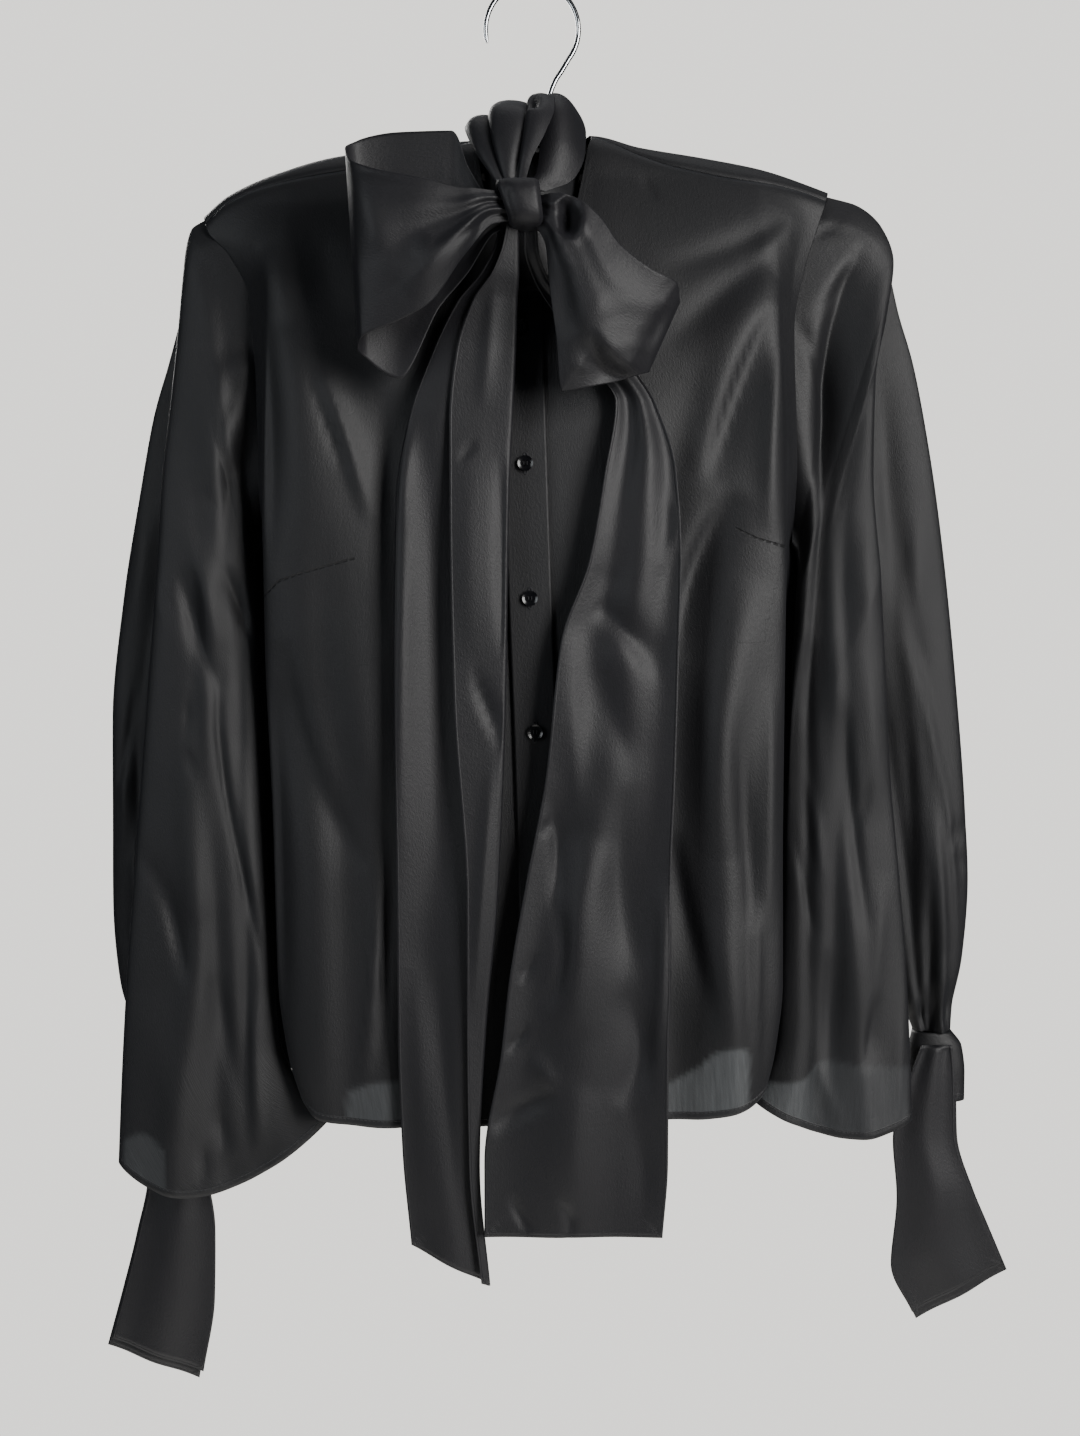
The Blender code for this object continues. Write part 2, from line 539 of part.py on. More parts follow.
def tail_right_grid(rows=19, main=6, flap=3, turn=3):
    """The right tail: its inner part is folded over to the front, down a leaning line."""
    table = TAIL_RIGHT
    down = along_rows(table, rows)
    outer, fold, free, y = [table(name, down) for name in table.names[1:]]
    radius = 2.2
    flat = np.linspace(0, 1, main)
    ones = np.ones_like(flat)
    main_x = outer + (fold - radius - outer) * flat
    main_y = y + radius + 2.0 * np.sin(flat * 2 * math.pi + down * 0.01)
    bend = np.linspace(0, math.pi, turn + 2)[1:-1]
    bend_x = fold - radius + radius * np.sin(bend)
    bend_y = y + radius * np.cos(bend) + 2.0 * np.sin(2 * math.pi + down * 0.01)
    back = np.linspace(0, 1, flap)
    flap_x = fold - radius + (free - fold + radius) * back
    flap_y = y - radius + 2.0 * np.sin(2 * math.pi + down * 0.01) - 1.5 * back
    x = np.concatenate((main_x, bend_x, flap_x), 1)
    depth = np.concatenate((main_y * ones, bend_y, flap_y), 1)
    end = np.clip((down - 640) / (table.rows[-1, 0] - 640), 0, 1)
    slant = TAIL_RIGHT_CUT * end * (x - outer) / (fold - outer)
    return np.stack((x, depth, -(down + slant - TAIL_RIGHT_CUT * 0.5 * end)), -1)


def tail_left_grid(rows=21, columns=10):
    table = TAIL_LEFT
    down = along_rows(table, rows)
    inner, outer, y, ripple = [table(name, down) for name in table.names[1:]]
    part = np.linspace(0, 1, columns)
    x = inner + (outer - inner) * part
    depth = y - ripple * np.sin(part * 2 * math.pi * 1.6 + 0.6 + down * 0.004)
    return np.stack((x, depth, -down + 0 * part), -1)


def knot_grid(rows=5, points=14):
    """The knot: a band round the gathered middle of the bow, its opening to left and right."""
    table = Table("x top bottom front back",
                  (-20, 139, 168, -101, -74), (-14, 138, 172.4, -104, -72), (-4, 138, 173, -105, -71),
                  (4, 139, 172, -103, -72), (9, 141, 167, -99, -74))
    x = np.linspace(-20, 9, rows)[:, None]
    top, bottom, front, back = [table(name, x) for name in table.names[1:]]
    turn = np.arange(points) / points * 2 * math.pi
    rise, lean = np.cos(turn), np.sin(turn)
    down = (top + bottom) / 2 - (bottom - top) / 2 * np.sign(rise) * np.abs(rise) ** 0.8
    y = (front + back) / 2 - (back - front) / 2 * np.sign(lean) * np.abs(lean) ** 0.8
    return np.stack((x + 0 * turn, y, -down), -1)


# the tie collar's two ends, gathered from the knot up and back round the hook's stem
WRAP_RIGHT = Table(
    "row first_x first_down first_y last_x last_down last_y belly pleat",
    (0, -17, 136.5, -84, -4, 136.5, -88, 0, 0.8), (1, -22, 132, -82, 0, 126, -90, 1, 2.2),
    (2, -30, 122, -74, 7, 108, -85, 3, 3.4), (3, -36, 111, -60, 12, 92, -73, 5, 4.0),
    (4, -37, 104, -42, 10, 82, -55, 4, 3.2), (5, -34, 97, -22, 4, 78, -34, 2, 2.2),
    (6, -28, 87.6, -6, 1, 78, -13, 0, 1.0), (7, -20, 87.5, 5, -2, 80, 3, 0, 0.4))
WRAP_LEFT = Table(
    "row first_x first_down first_y last_x last_down last_y belly pleat",
    (0, -2, 136.5, -84, 7, 138.5, -82, 0, 0.4), (1, 6, 128, -80, 24, 130, -74, 2, 0.6),
    (2, 8, 112, -74, 31, 114, -64, 4, 1.0), (3, 11, 92, -64, 31, 100, -52, 5, 1.2),
    (4, 14, 79, -46, 28, 87, -36, 4, 1.2), (5, 16, 78, -26, 27, 84, -20, 2, 0.8),
    (6, 16, 78, -8, 25, 87, -4, 0, 0.4), (7, 15, 80, 4, 22, 88, 3, 0, 0.2))
# the standing band, sewn to the neckline and pulled in round the hook's stem
BAND_MIDDLE = (2.0, -20.0)
BAND_HALF = (11.0, 27.0)
BAND_TOP, BAND_TOP_FRONT = 89.0, 26.0
BAND_SIDE = 89.4
BAND_INSIDE = 2.4
BAND_BACK = 3.0


def band_grid(rows=4, points=26):
    """The neckband: from the neckline all round to a small opening about the stem."""
    turn = np.arange(points) / points * 2 * math.pi
    x = (NECK_SIDE - 1.2) * np.cos(turn)
    front = np.sin(turn) > 0
    near_side = np.abs(np.cos(turn)) ** 8
    down = np.where(front, NECKLINE("down", np.abs(x)) - SEAM * 2, RIDGE("down", x) - 1.2)
    down = down + (BAND_SIDE - down) * near_side
    depth = over_bar(BODY[LEFT]("front", down), np.maximum(down - 91, 0)) + BAND_INSIDE
    depth = np.where(front, depth, BAND_BACK) * (1 - near_side)
    low = np.stack((x, depth, -down), -1)
    high_x = BAND_MIDDLE[0] + BAND_HALF[0] * np.cos(turn)
    high_y = BAND_MIDDLE[1] - BAND_HALF[1] * np.sin(turn)
    high_down = BAND_TOP + BAND_TOP_FRONT * np.clip(np.sin(turn), 0, 1) ** 2
    high = np.stack((high_x, high_y, -high_down), -1)
    part = np.linspace(0, 1, rows)[:, None, None]
    return low + (high - low) * part


def wrap_grid(table, pleats, rows=13, columns=11):
    at = np.linspace(0, table.rows[-1, 0], rows)[:, None]
    part = np.linspace(0, 1, columns)
    fx, fd, fy, lx, ld, ly, belly, pleat = [table(name, at) for name in table.names[1:]]
    wave = pleat * np.sin(part * 2 * math.pi * pleats) * np.sin(part * math.pi) ** 0.5
    x = fx + (lx - fx) * part
    down = fd + (ld - fd) * part - belly * np.sin(part * math.pi) * 0.6
    y = fy + (ly - fy) * part - belly * np.sin(part * math.pi) + wave
    return np.stack((x, y, -down), -1)


def placket_grid(rows=19, columns=3):
    """The button band, on the wearer's right front and over the left one."""
    down = np.linspace(189, 681, rows)[:, None]
    x = CENTRE("x", down) + np.linspace(-12.5, 12.5, columns)
    flat = BODY[LEFT]("front", down) + 0 * x
    y = over_bar(flat, down - 91) - PLACKET_STANDS
    return np.stack((x, y, -down + 0 * x), -1)


def make_bar(look):
    """The hanger's bar: two falling arms, seated just under the cloth of the shoulders."""
    x = np.linspace(BAR_ENDS[0], BAR_ENDS[1], 15)
    line = 91 + BAR_CURVE * (x - BAR_MIDDLE) ** 2
    line += np.max(RIDGE("down", x) + CLOTH / 2 + SEAM - line)
    near_end = np.minimum(x - BAR_ENDS[0], BAR_ENDS[1] - x)
    size = np.sqrt(np.clip(1 - (1 - np.clip(near_end / 8.0, 0, 1)) ** 2, 0.12, 1))[:, None]
    turn = np.arange(10) / 10 * 2 * math.pi
    depth = BAR_HALF_DEPTH * size * np.cos(turn)
    height = BAR_HALF_HEIGHT * (size * np.sin(turn) - 1)
    rings = np.stack((x[:, None] + 0 * turn, depth, height - line[:, None]), -1)
    return rod("hanger_bar", rings, look), line


def hook_route(stem_foot):
    """The wire: a straight stem, a bend out to the side, and a round hook."""
    centre_down = HOOK_RADIUS - WIRE / 2
    angles = np.radians(np.linspace(-38, 196, 19))
    arc = [(HOOK_RADIUS * math.cos(a), HOOK_RADIUS * math.sin(a) - centre_down) for a in angles]
    stem = [(3, -stem_foot), (6, -84), (9.3, -72), (11, -64), (14, -56.5), (18, -50.5)]
    return stem + arc


def make_hook(look, stem_foot):
    curve = bpy.data.curves.new("hanger_hook", "CURVE")
    curve.dimensions = "3D"
    curve.bevel_depth = WIRE / 2 * MM
    curve.bevel_resolution = 2
    curve.use_fill_caps = True
    route = hook_route(stem_foot)
    line = curve.splines.new("POLY")
    line.points.add(len(route) - 1)
    for point, (x, z) in zip(line.points, route):
        point.co = (x * MM, 0.0, z * MM, 1.0)
    made = bpy.data.objects.new("hanger_hook", curve)
    bpy.context.scene.collection.objects.link(made)
    curve.materials.append(look)
    return made


def make_button(number, look):
    """A four-hole button, drilled through, lying on the button band."""
    down = FIRST_BUTTON + BUTTON_STEP * number
    x = float(CENTRE("x", down))
    place = placket_point(x, down)
    lean = (placket_point(x, down - 5.0)[1] - placket_point(x, down + 5.0)[1]) / 10.0
    rim, inside, half = BUTTON_WIDTH / 2, BUTTON_WIDTH / 2 - 1.0, BUTTON_HEIGHT / 2
    profile = ((inside - 0.6, -half), (rim - 0.5, -half), (rim, 0.0), (rim - 0.4, half), (inside, half),
               (inside - 0.4, half - 0.5))
    turn = np.arange(12) / 12 * 2 * math.pi
    rings = []
    for radius, height in profile:
        rings.append(np.stack((place[0] + radius * np.cos(turn),
                               place[1] - SEAM - half - height + lean * radius * np.sin(turn),
                               place[2] + radius * np.sin(turn)), -1))
    return rod(f"button_{number + 1}", np.array(rings), look)


def placket_point(x, down):
    """A place on the button band's front face."""
    flat = float(BODY[LEFT]("front", down))
    y = float(over_bar(np.array(flat), np.array(down - 91.0))) - PLACKET_STANDS - FOLDED_CLOTH / 2
    return x, y, -down


def build():
    for old in list(bpy.data.objects):
        bpy.data.objects.remove(old)
    satin = material("black satin", (0.010, 0.011, 0.013), 0.42)
    ribbon = material("black satin ribbon", (0.012, 0.013, 0.015), 0.40)
    horn = material("black button", (0.012, 0.012, 0.014), 0.25)
    steel = material("steel wire", (0.55, 0.56, 0.58), 0.22, 1.0)
    plastic = material("black hanger", (0.02, 0.02, 0.022), 0.5)

    _, line = make_bar(plastic)
    make_hook(steel, float(np.min(line)))

    for side, name in ((LEFT, "left"), (RIGHT, "right")):
        panel = trim(front_grid(side), ((-1, -2),))
        if side == RIGHT:
            panel = panel[:, ::-1]
        cloth(f"front_{name}", panel, satin)
        over = sleeve_grid(side, OVERSLEEVE)
        under = sleeve_grid(side, UNDERSLEEVE, points=16, sewn_front=False)
        if side == RIGHT:
            over, under = over[:, ::-1], under[:, ::-1]
        cloth(f"oversleeve_{name}", over, satin, ring=True)
        cloth(f"undersleeve_{name}", under, satin, ring=True)
        cloth(f"cuff_{name}", cuff_grid(side), satin, FOLDED_CLOTH, ring=True)
        tie = strip_grid(CUFF_TIES[side], side, TIE_ROWS, 5, 1.0)
        cloth(f"cuff_tie_{name}_front", tie, ribbon)
        cloth(f"cuff_tie_{name}_back", second_tie(tie, side), ribbon)

    cloth("back", trim(back_grid(), ((0, 1), (-1, -2))), satin)
    cloth("placket", placket_grid(), satin, FOLDED_CLOTH)
    cloth("neckband", band_grid(), satin, ring=True)
    cloth("bow_loop_right", loop_grid(LOOP_RIGHT), ribbon)
    cloth("bow_loop_left", loop_grid(LOOP_LEFT), ribbon)
    cloth("bow_tail_right", tail_right_grid(), ribbon)
    cloth("bow_tail_left", tail_left_grid(), ribbon)
    cloth("bow_knot", knot_grid(), ribbon, FOLDED_CLOTH, ring=True)
    cloth("tie_wrap_right", wrap_grid(WRAP_RIGHT, 3.5), ribbon)
    cloth("tie_wrap_left", wrap_grid(WRAP_LEFT, 1.5), ribbon)
    for number in range(BUTTON_COUNT):
        make_button(number, horn)


build()
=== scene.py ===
"""A black satin tie neck blouse on a bar hanger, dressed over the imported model.

Lengths in the tables are millimetres; x runs to the wearer's left, y to the back, "down" is the depth
below the hook's inner apex, which is the origin. Meshes are made in metres.
"""
import math

import bmesh
import bpy
import numpy as np
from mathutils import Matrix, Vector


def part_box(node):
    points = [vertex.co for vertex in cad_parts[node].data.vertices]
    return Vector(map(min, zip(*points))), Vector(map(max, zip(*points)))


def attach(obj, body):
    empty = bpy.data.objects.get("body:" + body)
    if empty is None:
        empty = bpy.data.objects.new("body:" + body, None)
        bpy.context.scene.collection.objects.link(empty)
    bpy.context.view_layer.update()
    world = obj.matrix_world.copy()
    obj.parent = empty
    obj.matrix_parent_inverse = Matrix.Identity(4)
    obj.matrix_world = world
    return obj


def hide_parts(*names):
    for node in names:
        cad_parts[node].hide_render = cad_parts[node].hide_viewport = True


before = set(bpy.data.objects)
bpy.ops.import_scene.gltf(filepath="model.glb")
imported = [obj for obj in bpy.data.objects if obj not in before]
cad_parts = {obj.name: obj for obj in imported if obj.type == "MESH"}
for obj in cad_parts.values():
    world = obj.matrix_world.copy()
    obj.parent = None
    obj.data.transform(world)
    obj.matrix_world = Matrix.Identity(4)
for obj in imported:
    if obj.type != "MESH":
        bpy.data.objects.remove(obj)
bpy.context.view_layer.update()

MM = 0.001
SATIN_WALL = 0.45        # thickness of one layer of satin, as drawn
FOLDED_WALL = 0.9        # placket, cuffs and knot, which are folded double
SEAM = 0.12              # gap left between two sewn pieces
ARMHOLE_SEAM = 0.5
SEAM_ROLL = 1.1          # depth of the soft groove along the shoulder seams
ARMHOLE_TUCK = 2.6       # the sleeve's edge reaches in under the panels' edges
SIDE_SEAM = 0.5
CUFF_SEAM = 0.3
UNDERARM = 333.0
CENTRE_CLEAR = 0.6       # each front panel's centre edge, under the button band, from the centre line
TIE_EDGE = 1.1           # a tie is sewn inside out and turned, so its edge only shows as a fine ridge
HEM_WIDTH = 4.6          # a narrow hem, turned twice and stitched
BUTTON_WIDTH = 9.0
BUTTON_HEIGHT = 2.2
BUTTON_STEP = 78.0
BUTTON_COUNT = 6
FIRST_BUTTON = 212.0
WIRE = 3.0
HOOK_RADIUS = 28.0       # to the middle of the wire
SHOULDER_ROUND = 11.0    # half depth of the cloth where it turns over the bar
BUTTON_HOLE = 0.55       # radius of the four holes
BUTTON_HOLE_ASIDE = 0.95
THREAD = 0.3             # half the thickness of the sewing thread, as drawn
BUTTONHOLE_ROUND = 1.0   # radius of its rounded ends
BUTTONHOLE_HALF = 5.0    # from its middle to where its ends begin to round
PLACKET_STANDS = 2.3     # how far the button band lies in front of the panels
PLACKET_HALF = 12.5
PLACKET_ENDS = (189, 681)
RIDGE_TOP = 91.0         # depth of the shoulder line at the middle of the blouse

LEFT, RIGHT = 1, -1
SIDES = ((LEFT, "left"), (RIGHT, "right"))


def aim_camera():
    """The photograph's view: upright frame, a little below the bow, tipped slightly down."""
    frame_height_px = 1436
    focal_px = 1612
    sensor = 36.0
    data = bpy.data.cameras.new("camera")
    data.sensor_fit = "VERTICAL"
    data.sensor_height = sensor
    data.lens = focal_px / frame_height_px * sensor
    camera = bpy.data.objects.new("camera", data)
    bpy.context.scene.collection.objects.link(camera)
    camera.location = (0.0048, -1.0, -0.3663)
    camera.rotation_euler = (math.radians(90 - 4.35), 0, 0)
    bpy.context.scene.camera = camera


def softbox(name, place, target, width, height, watts, tint):
    """A soft rectangular light that faces the target."""
    data = bpy.data.lights.new(name, "AREA")
    data.shape = "RECTANGLE"
    data.size, data.size_y = width, height
    data.energy = watts
    data.color = tint
    lamp = bpy.data.objects.new(name, data)
    bpy.context.scene.collection.objects.link(lamp)
    lamp.location = place
    away = [a - b for a, b in zip(place, target)]
    lamp.rotation_euler = (math.atan2(math.hypot(away[0], away[1]), away[2]), 0,
                           math.atan2(away[0], -away[1]))


def linear(code):
    """An sRGB hex colour as linear red, green and blue."""
    parts = [int(code[i:i + 2], 16) / 255 for i in (1, 3, 5)]
    return tuple(p / 12.92 if p <= 0.04045 else ((p + 0.055) / 1.055) ** 2.4 for p in parts)


def add_node(tree, kind, links=None, **settings):
    """A node with its settings: a key in links is an input, its value a number, colour or output."""
    node = tree.nodes.new(kind)
    for key, value in settings.items():
        setattr(node, key, value)
    for key, value in (links or {}).items():
        if isinstance(value, bpy.types.NodeSocket):
            tree.links.new(value, node.inputs[key])
        else:
            node.inputs[key].default_value = value
    return node


def light_studio():
    """Pale floor and surroundings, a window-like light at the right, one behind, weak ones left and above."""
    world = bpy.data.worlds.new("studio")
    world.use_nodes = True
    tree = world.node_tree
    backdrop = (*linear("#f7f5f0"), 1)
    dim = (*linear("#242629"), 1)
    seen = add_node(tree, "ShaderNodeLightPath")
    mix = add_node(tree, "ShaderNodeMix", {0: seen.outputs["Is Camera Ray"], 6: dim, 7: backdrop},
                   data_type="RGBA")
    tree.links.new(mix.outputs[2], tree.nodes["Background"].inputs["Color"])
    tree.nodes["Background"].inputs["Strength"].default_value = 1.6
    bpy.context.scene.world = world
    middle = (0.0, 0.0, -0.38)
    softbox("window light", (1.5, -1.7, 0.15), middle, 0.9, 1.5, 66, (1.0, 0.985, 0.965))
    softbox("left light", (-1.7, -1.5, 0.15), middle, 0.7, 1.4, 14, (0.93, 0.97, 1.0))
    softbox("top light", (0.1, 0.5, 1.6), middle, 1.6, 1.0, 5, (1.0, 1.0, 1.0))
    softbox("back light", (-0.9, 1.9, 0.4), middle, 1.4, 1.4, 60, (1.0, 0.99, 0.97))
    bpy.ops.object.select_all(action="DESELECT")
    bpy.ops.mesh.primitive_circle_add(vertices=96, radius=0.8, fill_type="NGON", location=(0, 0, -1.35))
    floor = bpy.context.active_object
    floor.name = "floor"
    paint = bpy.data.materials.new("pale floor paint")
    paint.use_nodes = True
    shader = paint.node_tree.nodes["Principled BSDF"]
    shader.inputs["Base Color"].default_value = (*linear("#e6e4df"), 1)
    shader.inputs["Roughness"].default_value = 0.8
    shader.inputs["Emission Color"].default_value = (*linear("#f7f5f0"), 1)
    shader.inputs["Emission Strength"].default_value = 0.9
    floor.data.materials.append(paint)


aim_camera()
light_studio()


def smooth(at_rows, values, at):
    """Monotone cubic through short rows of values, flat beyond the ends."""
    at_rows = np.asarray(at_rows, float)
    values = np.asarray(values, float)
    at = np.clip(np.asarray(at, float), at_rows[0], at_rows[-1])
    step = np.diff(at_rows)
    slope = np.diff(values, axis=0) / step.reshape((-1,) + (1,) * (values.ndim - 1))
    tangent = np.zeros_like(values)
    same = slope[:-1] * slope[1:] > 0
    total = np.where(same, slope[:-1] + slope[1:], 1.0)
    tangent[1:-1] = np.where(same, 2 * slope[:-1] * slope[1:] / total, 0.0)
    tangent[0], tangent[-1] = slope[0], slope[-1]
    row = np.clip(np.searchsorted(at_rows, at, side="right") - 1, 0, len(step) - 1)
    span = step[row]
    t = (at - at_rows[row]) / span
    if values.ndim > 1:
        t, span = t[..., None], span[..., None]
    rise = values[row + 1] - values[row]
    return (values[row] + t * span * tangent[row]
            + t * t * (3 * rise - span * (2 * tangent[row] + tangent[row + 1]))
            + t ** 3 * (span * (tangent[row] + tangent[row + 1]) - 2 * rise))


class Table:
    """Rows of named columns, read smoothly against the first column."""

    def __init__(self, columns, *rows):
        self.names = columns.split()
        self.rows = np.array(rows, float)

    def __call__(self, name, at):
        return smooth(self.rows[:, 0], self.rows[:, self.names.index(name)], at)

    def all(self, at):
        return smooth(self.rows[:, 0], self.rows[:, 1:], at)


# the line over the shoulders, seen from the front
RIDGE = Table(
    "x down",
    (-199, 138), (-183, 125), (-153, 112), (-116, 102), (-38, 93), (0, 91),
    (35, 90), (65, 97), (102, 103), (138, 110), (181, 124))

# half sections of the body: the centre, the front fold, its root behind, the turn and the side edge
BODY = {
    LEFT: Table(
        "down front fold fold_y root root_y turn turn_y edge edge_y back back_edge",
        (120, -40, 140, -38, 155, -34, 168, -29, 180, -22, 26, 20),
        (150, -46, 142, -43, 152, -37, 161, -28, 170, -21, 29, 19),
        (172, -49, 143, -45, 150, -37, 156, -28, 163, -21, 31, 19),
        (206, -52, 144, -47, 149, -37, 153, -28, 157, -21, 33, 19),
        (286, -55, 147, -48, 152, -36, 156, -27, 160, -20, 34, 18),
        (333, -56, 149, -47, 152, -30, 156, -14, 161, -4, 34, 4),
        (352, -56, 150, -46, 151, -22, 160, -8, 168, 0, 34, 0),
        (400, -57, 150, -44, 148, -11, 169, -5, 175, 0, 34, 0),
        (500, -57, 150, -43, 147, -10, 188, -5, 194, 0, 33, 0),
        (600, -58, 151, -43, 147, -10, 200, -5, 206, 0, 32, 0),
        (640, -58, 147, -43, 144, -10, 200, -5, 206, 0, 32, 0),
        (675, -58, 139, -42, 137, -10, 198, -5, 204, 0, 32, 0)),
    RIGHT: Table(
        "down front fold fold_y root root_y turn turn_y edge edge_y back back_edge",
        (135, -40, 150, -38, 168, -34, 184, -28, 199, -21, 26, 19),
        (150, -44, 152, -42, 166, -36, 180, -28, 194, -20, 29, 19),
        (162, -47, 153, -44, 163, -38, 173, -29, 182, -21, 30, 19),
        (190, -51, 154, -47, 159, -38, 164, -29, 169, -21, 32, 19),
        (240, -53, 155, -48, 159, -37, 163, -29, 166, -20, 33, 18),
        (300, -55, 157, -48, 160, -34, 162, -27, 165, -19, 34, 17),
        (333, -56, 158, -47, 160, -30, 163, -13, 167, -4, 34, 4),
        (352, -56, 158, -46, 158, -22, 166, -8, 174, 0, 34, 0),
        (400, -57, 158, -44, 156, -11, 176, -5, 182, 0, 34, 0),
        (500, -57, 155, -43, 152, -10, 194, -5, 200, 0, 33, 0),
        (600, -58, 153, -43, 149, -10, 206, -5, 212, 0, 32, 0),
        (640, -58, 148, -43, 145, -10, 206, -5, 212, 0, 32, 0),
        (675, -58, 138, -42, 135, -10, 204, -5, 210, 0, 32, 0))}

# where a section's named points lie across a front panel, from the centre (0) to its side edge (1)
ACROSS = (0.0, 0.20, 0.42, 0.58, 0.66, 0.74, 0.84, 0.93, 1.0)
FRONT_HEM = {
    LEFT: Table("across down", (0, 681), (0.42, 680), (0.58, 673), (0.66, 664), (0.74, 656), (1, 656)),
    RIGHT: Table("across down", (0, 681), (0.42, 684), (0.58, 680), (0.66, 668), (0.74, 662), (1, 664))}
BACK_HEM = Table("x down", (-212, 664), (-150, 668), (-60, 684), (0, 686), (60, 684), (150, 666), (206, 656))
NECKLINE = Table("x down", (4, 188), (10, 182), (18, 162), (27, 132), (34, 97))
NECK_SIDE = 34.0
# how far the shoulder seam lies below the ridge, in front
SHOULDER_SEAM = Table("x drop", (34, 2), (60, 8), (90, 13), (115, 14), (170, 8), (199, 6))
# the button line leans a little
CENTRE = Table("down x", (188, -7), (369, -1), (446, 2), (690, 9))

# large soft folds: ridges in front of the plain form where the height is negative, troughs where it is not
FRONT_FOLDS = Table(
    "number top_x top bottom_x bottom width height",
    (0, -150, 180, -112, 470, 14, 4.0),
    (1, -128, 330, -122, 660, 16, -4.5),
    (2, -92, 430, -70, 684, 9, 3.5),
    (3, 128, 175, 78, 300, 15, 4.0),
    (4, 112, 250, 92, 440, 16, 3.5),
    (5, 104, 380, 124, 668, 11, -4.5),
    (6, 60, 200, 52, 420, 18, -2.5))
BACK_FOLDS = Table(
    "number top_x top bottom_x bottom width height",
    (0, -150, 200, -125, 670, 16, 4.0),
    (1, -70, 260, -84, 684, 14, -3.5),
    (2, -14, 150, -22, 684, 15, 4.5),
    (3, 42, 240, 55, 684, 14, -3.5),
    (4, 128, 190, 140, 668, 17, 4.0))

CREASE_STEPS = 25
CREASE_FADE = 0.95       # how soon a crease reaches its full depth: 1 is a plain half wave
CREASE_FLANK = 1.7       # 2 is a round flank, less is a sharper crease
CREASE_COLUMNS = "x0 down0 x1 down1 x2 down2 left right height"
FRONT_CREASES = Table(
    CREASE_COLUMNS,
    # wearer's left front: soft bands from the shoulder point to the bow, a dark hollow and bright planes
    (150, 141, 125, 159, 74, 177, 8, 10, -3.6), (163, 140, 144, 157, 125, 170, 8, 8, 2.6),
    (154, 161, 118, 185, 75, 224, 9, 12, -4), (142, 179, 116, 218, 92, 294, 18, 20, 5.5),
    (141, 198, 119, 247, 103, 303, 4, 15, -7.5), (121, 305, 96, 347, 86, 405, 5, 15, -7),
    (147, 217, 140, 275, 140, 334, 6, 9, 4), (66, 118, 68, 126, 74, 135, 2, 3, -1.5),
    (129, 356, 114, 437, 110, 520, 14, 15, 6.5), (119, 430, 126, 506, 131, 566, 3.5, 6, -4),
    (141, 414, 142, 483, 141, 568, 6, 4, 3), (85, 506, 92, 552, 112, 627, 12, 4, -4.5),
    (134, 547, 134, 594, 134, 660, 2.5, 2.5, 2.8), (108, 552, 116, 599, 121, 646, 10, 10, 2.4),
    # wearer's right front: a crisp fold from the chest to the tie, and a long thin one at the hem
    (-126, 234, -110, 274, -94, 326, 2.5, 8, 4.5), (-130, 230, -116, 271, -107, 295, 3, 3, -2.4),
    (-144, 205, -133, 290, -130, 430, 18, 20, 7.5), (-158, 180, -152, 261, -153, 353, 5, 7, -4.5),
    (-88, 247, -84, 295, -82, 393, 14, 14, -4.5), (-154, 160, -146, 185, -142, 210, 12, 12, 2.4),
    (-131, 148, -122, 176, -115, 213, 15, 15, -3), (-145, 392, -130, 464, -98, 529, 18, 5, -5),
    (-115, 369, -104, 437, -92, 497, 14, 14, 3), (-89, 517, -93, 587, -104, 679, 3, 3, 3.4),
    (-85, 515, -87, 587, -89, 657, 4, 4, -3), (-153, 414, -150, 529, -150, 657, 4, 7, -4.5))
BACK_CREASES = Table(
    CREASE_COLUMNS,
    (-160, 150, -120, 190, -70, 215, 12, 9, -3.0), (-172, 160, -140, 230, -126, 330, 8, 14, 3.2),
    (-96, 220, -100, 400, -84, 760, 7, 12, 3.0), (-40, 300, -52, 500, -44, 760, 6, 14, -3.2),
    (28, 230, 20, 420, 31, 760, 12, 5, 3.0), (96, 200, 84, 420, 96, 760, 6, 12, 3.2),
    (152, 158, 118, 200, 70, 226, 10, 12, -3.0), (165, 170, 150, 260, 128, 380, 12, 7, 3.0),
    (150, 380, 158, 520, 162, 740, 10, 7, -3.0), (-158, 390, -150, 540, -160, 740, 8, 12, -3.0),
    (-20, 105, -16, 150, -24, 230, 7, 10, 1.8))
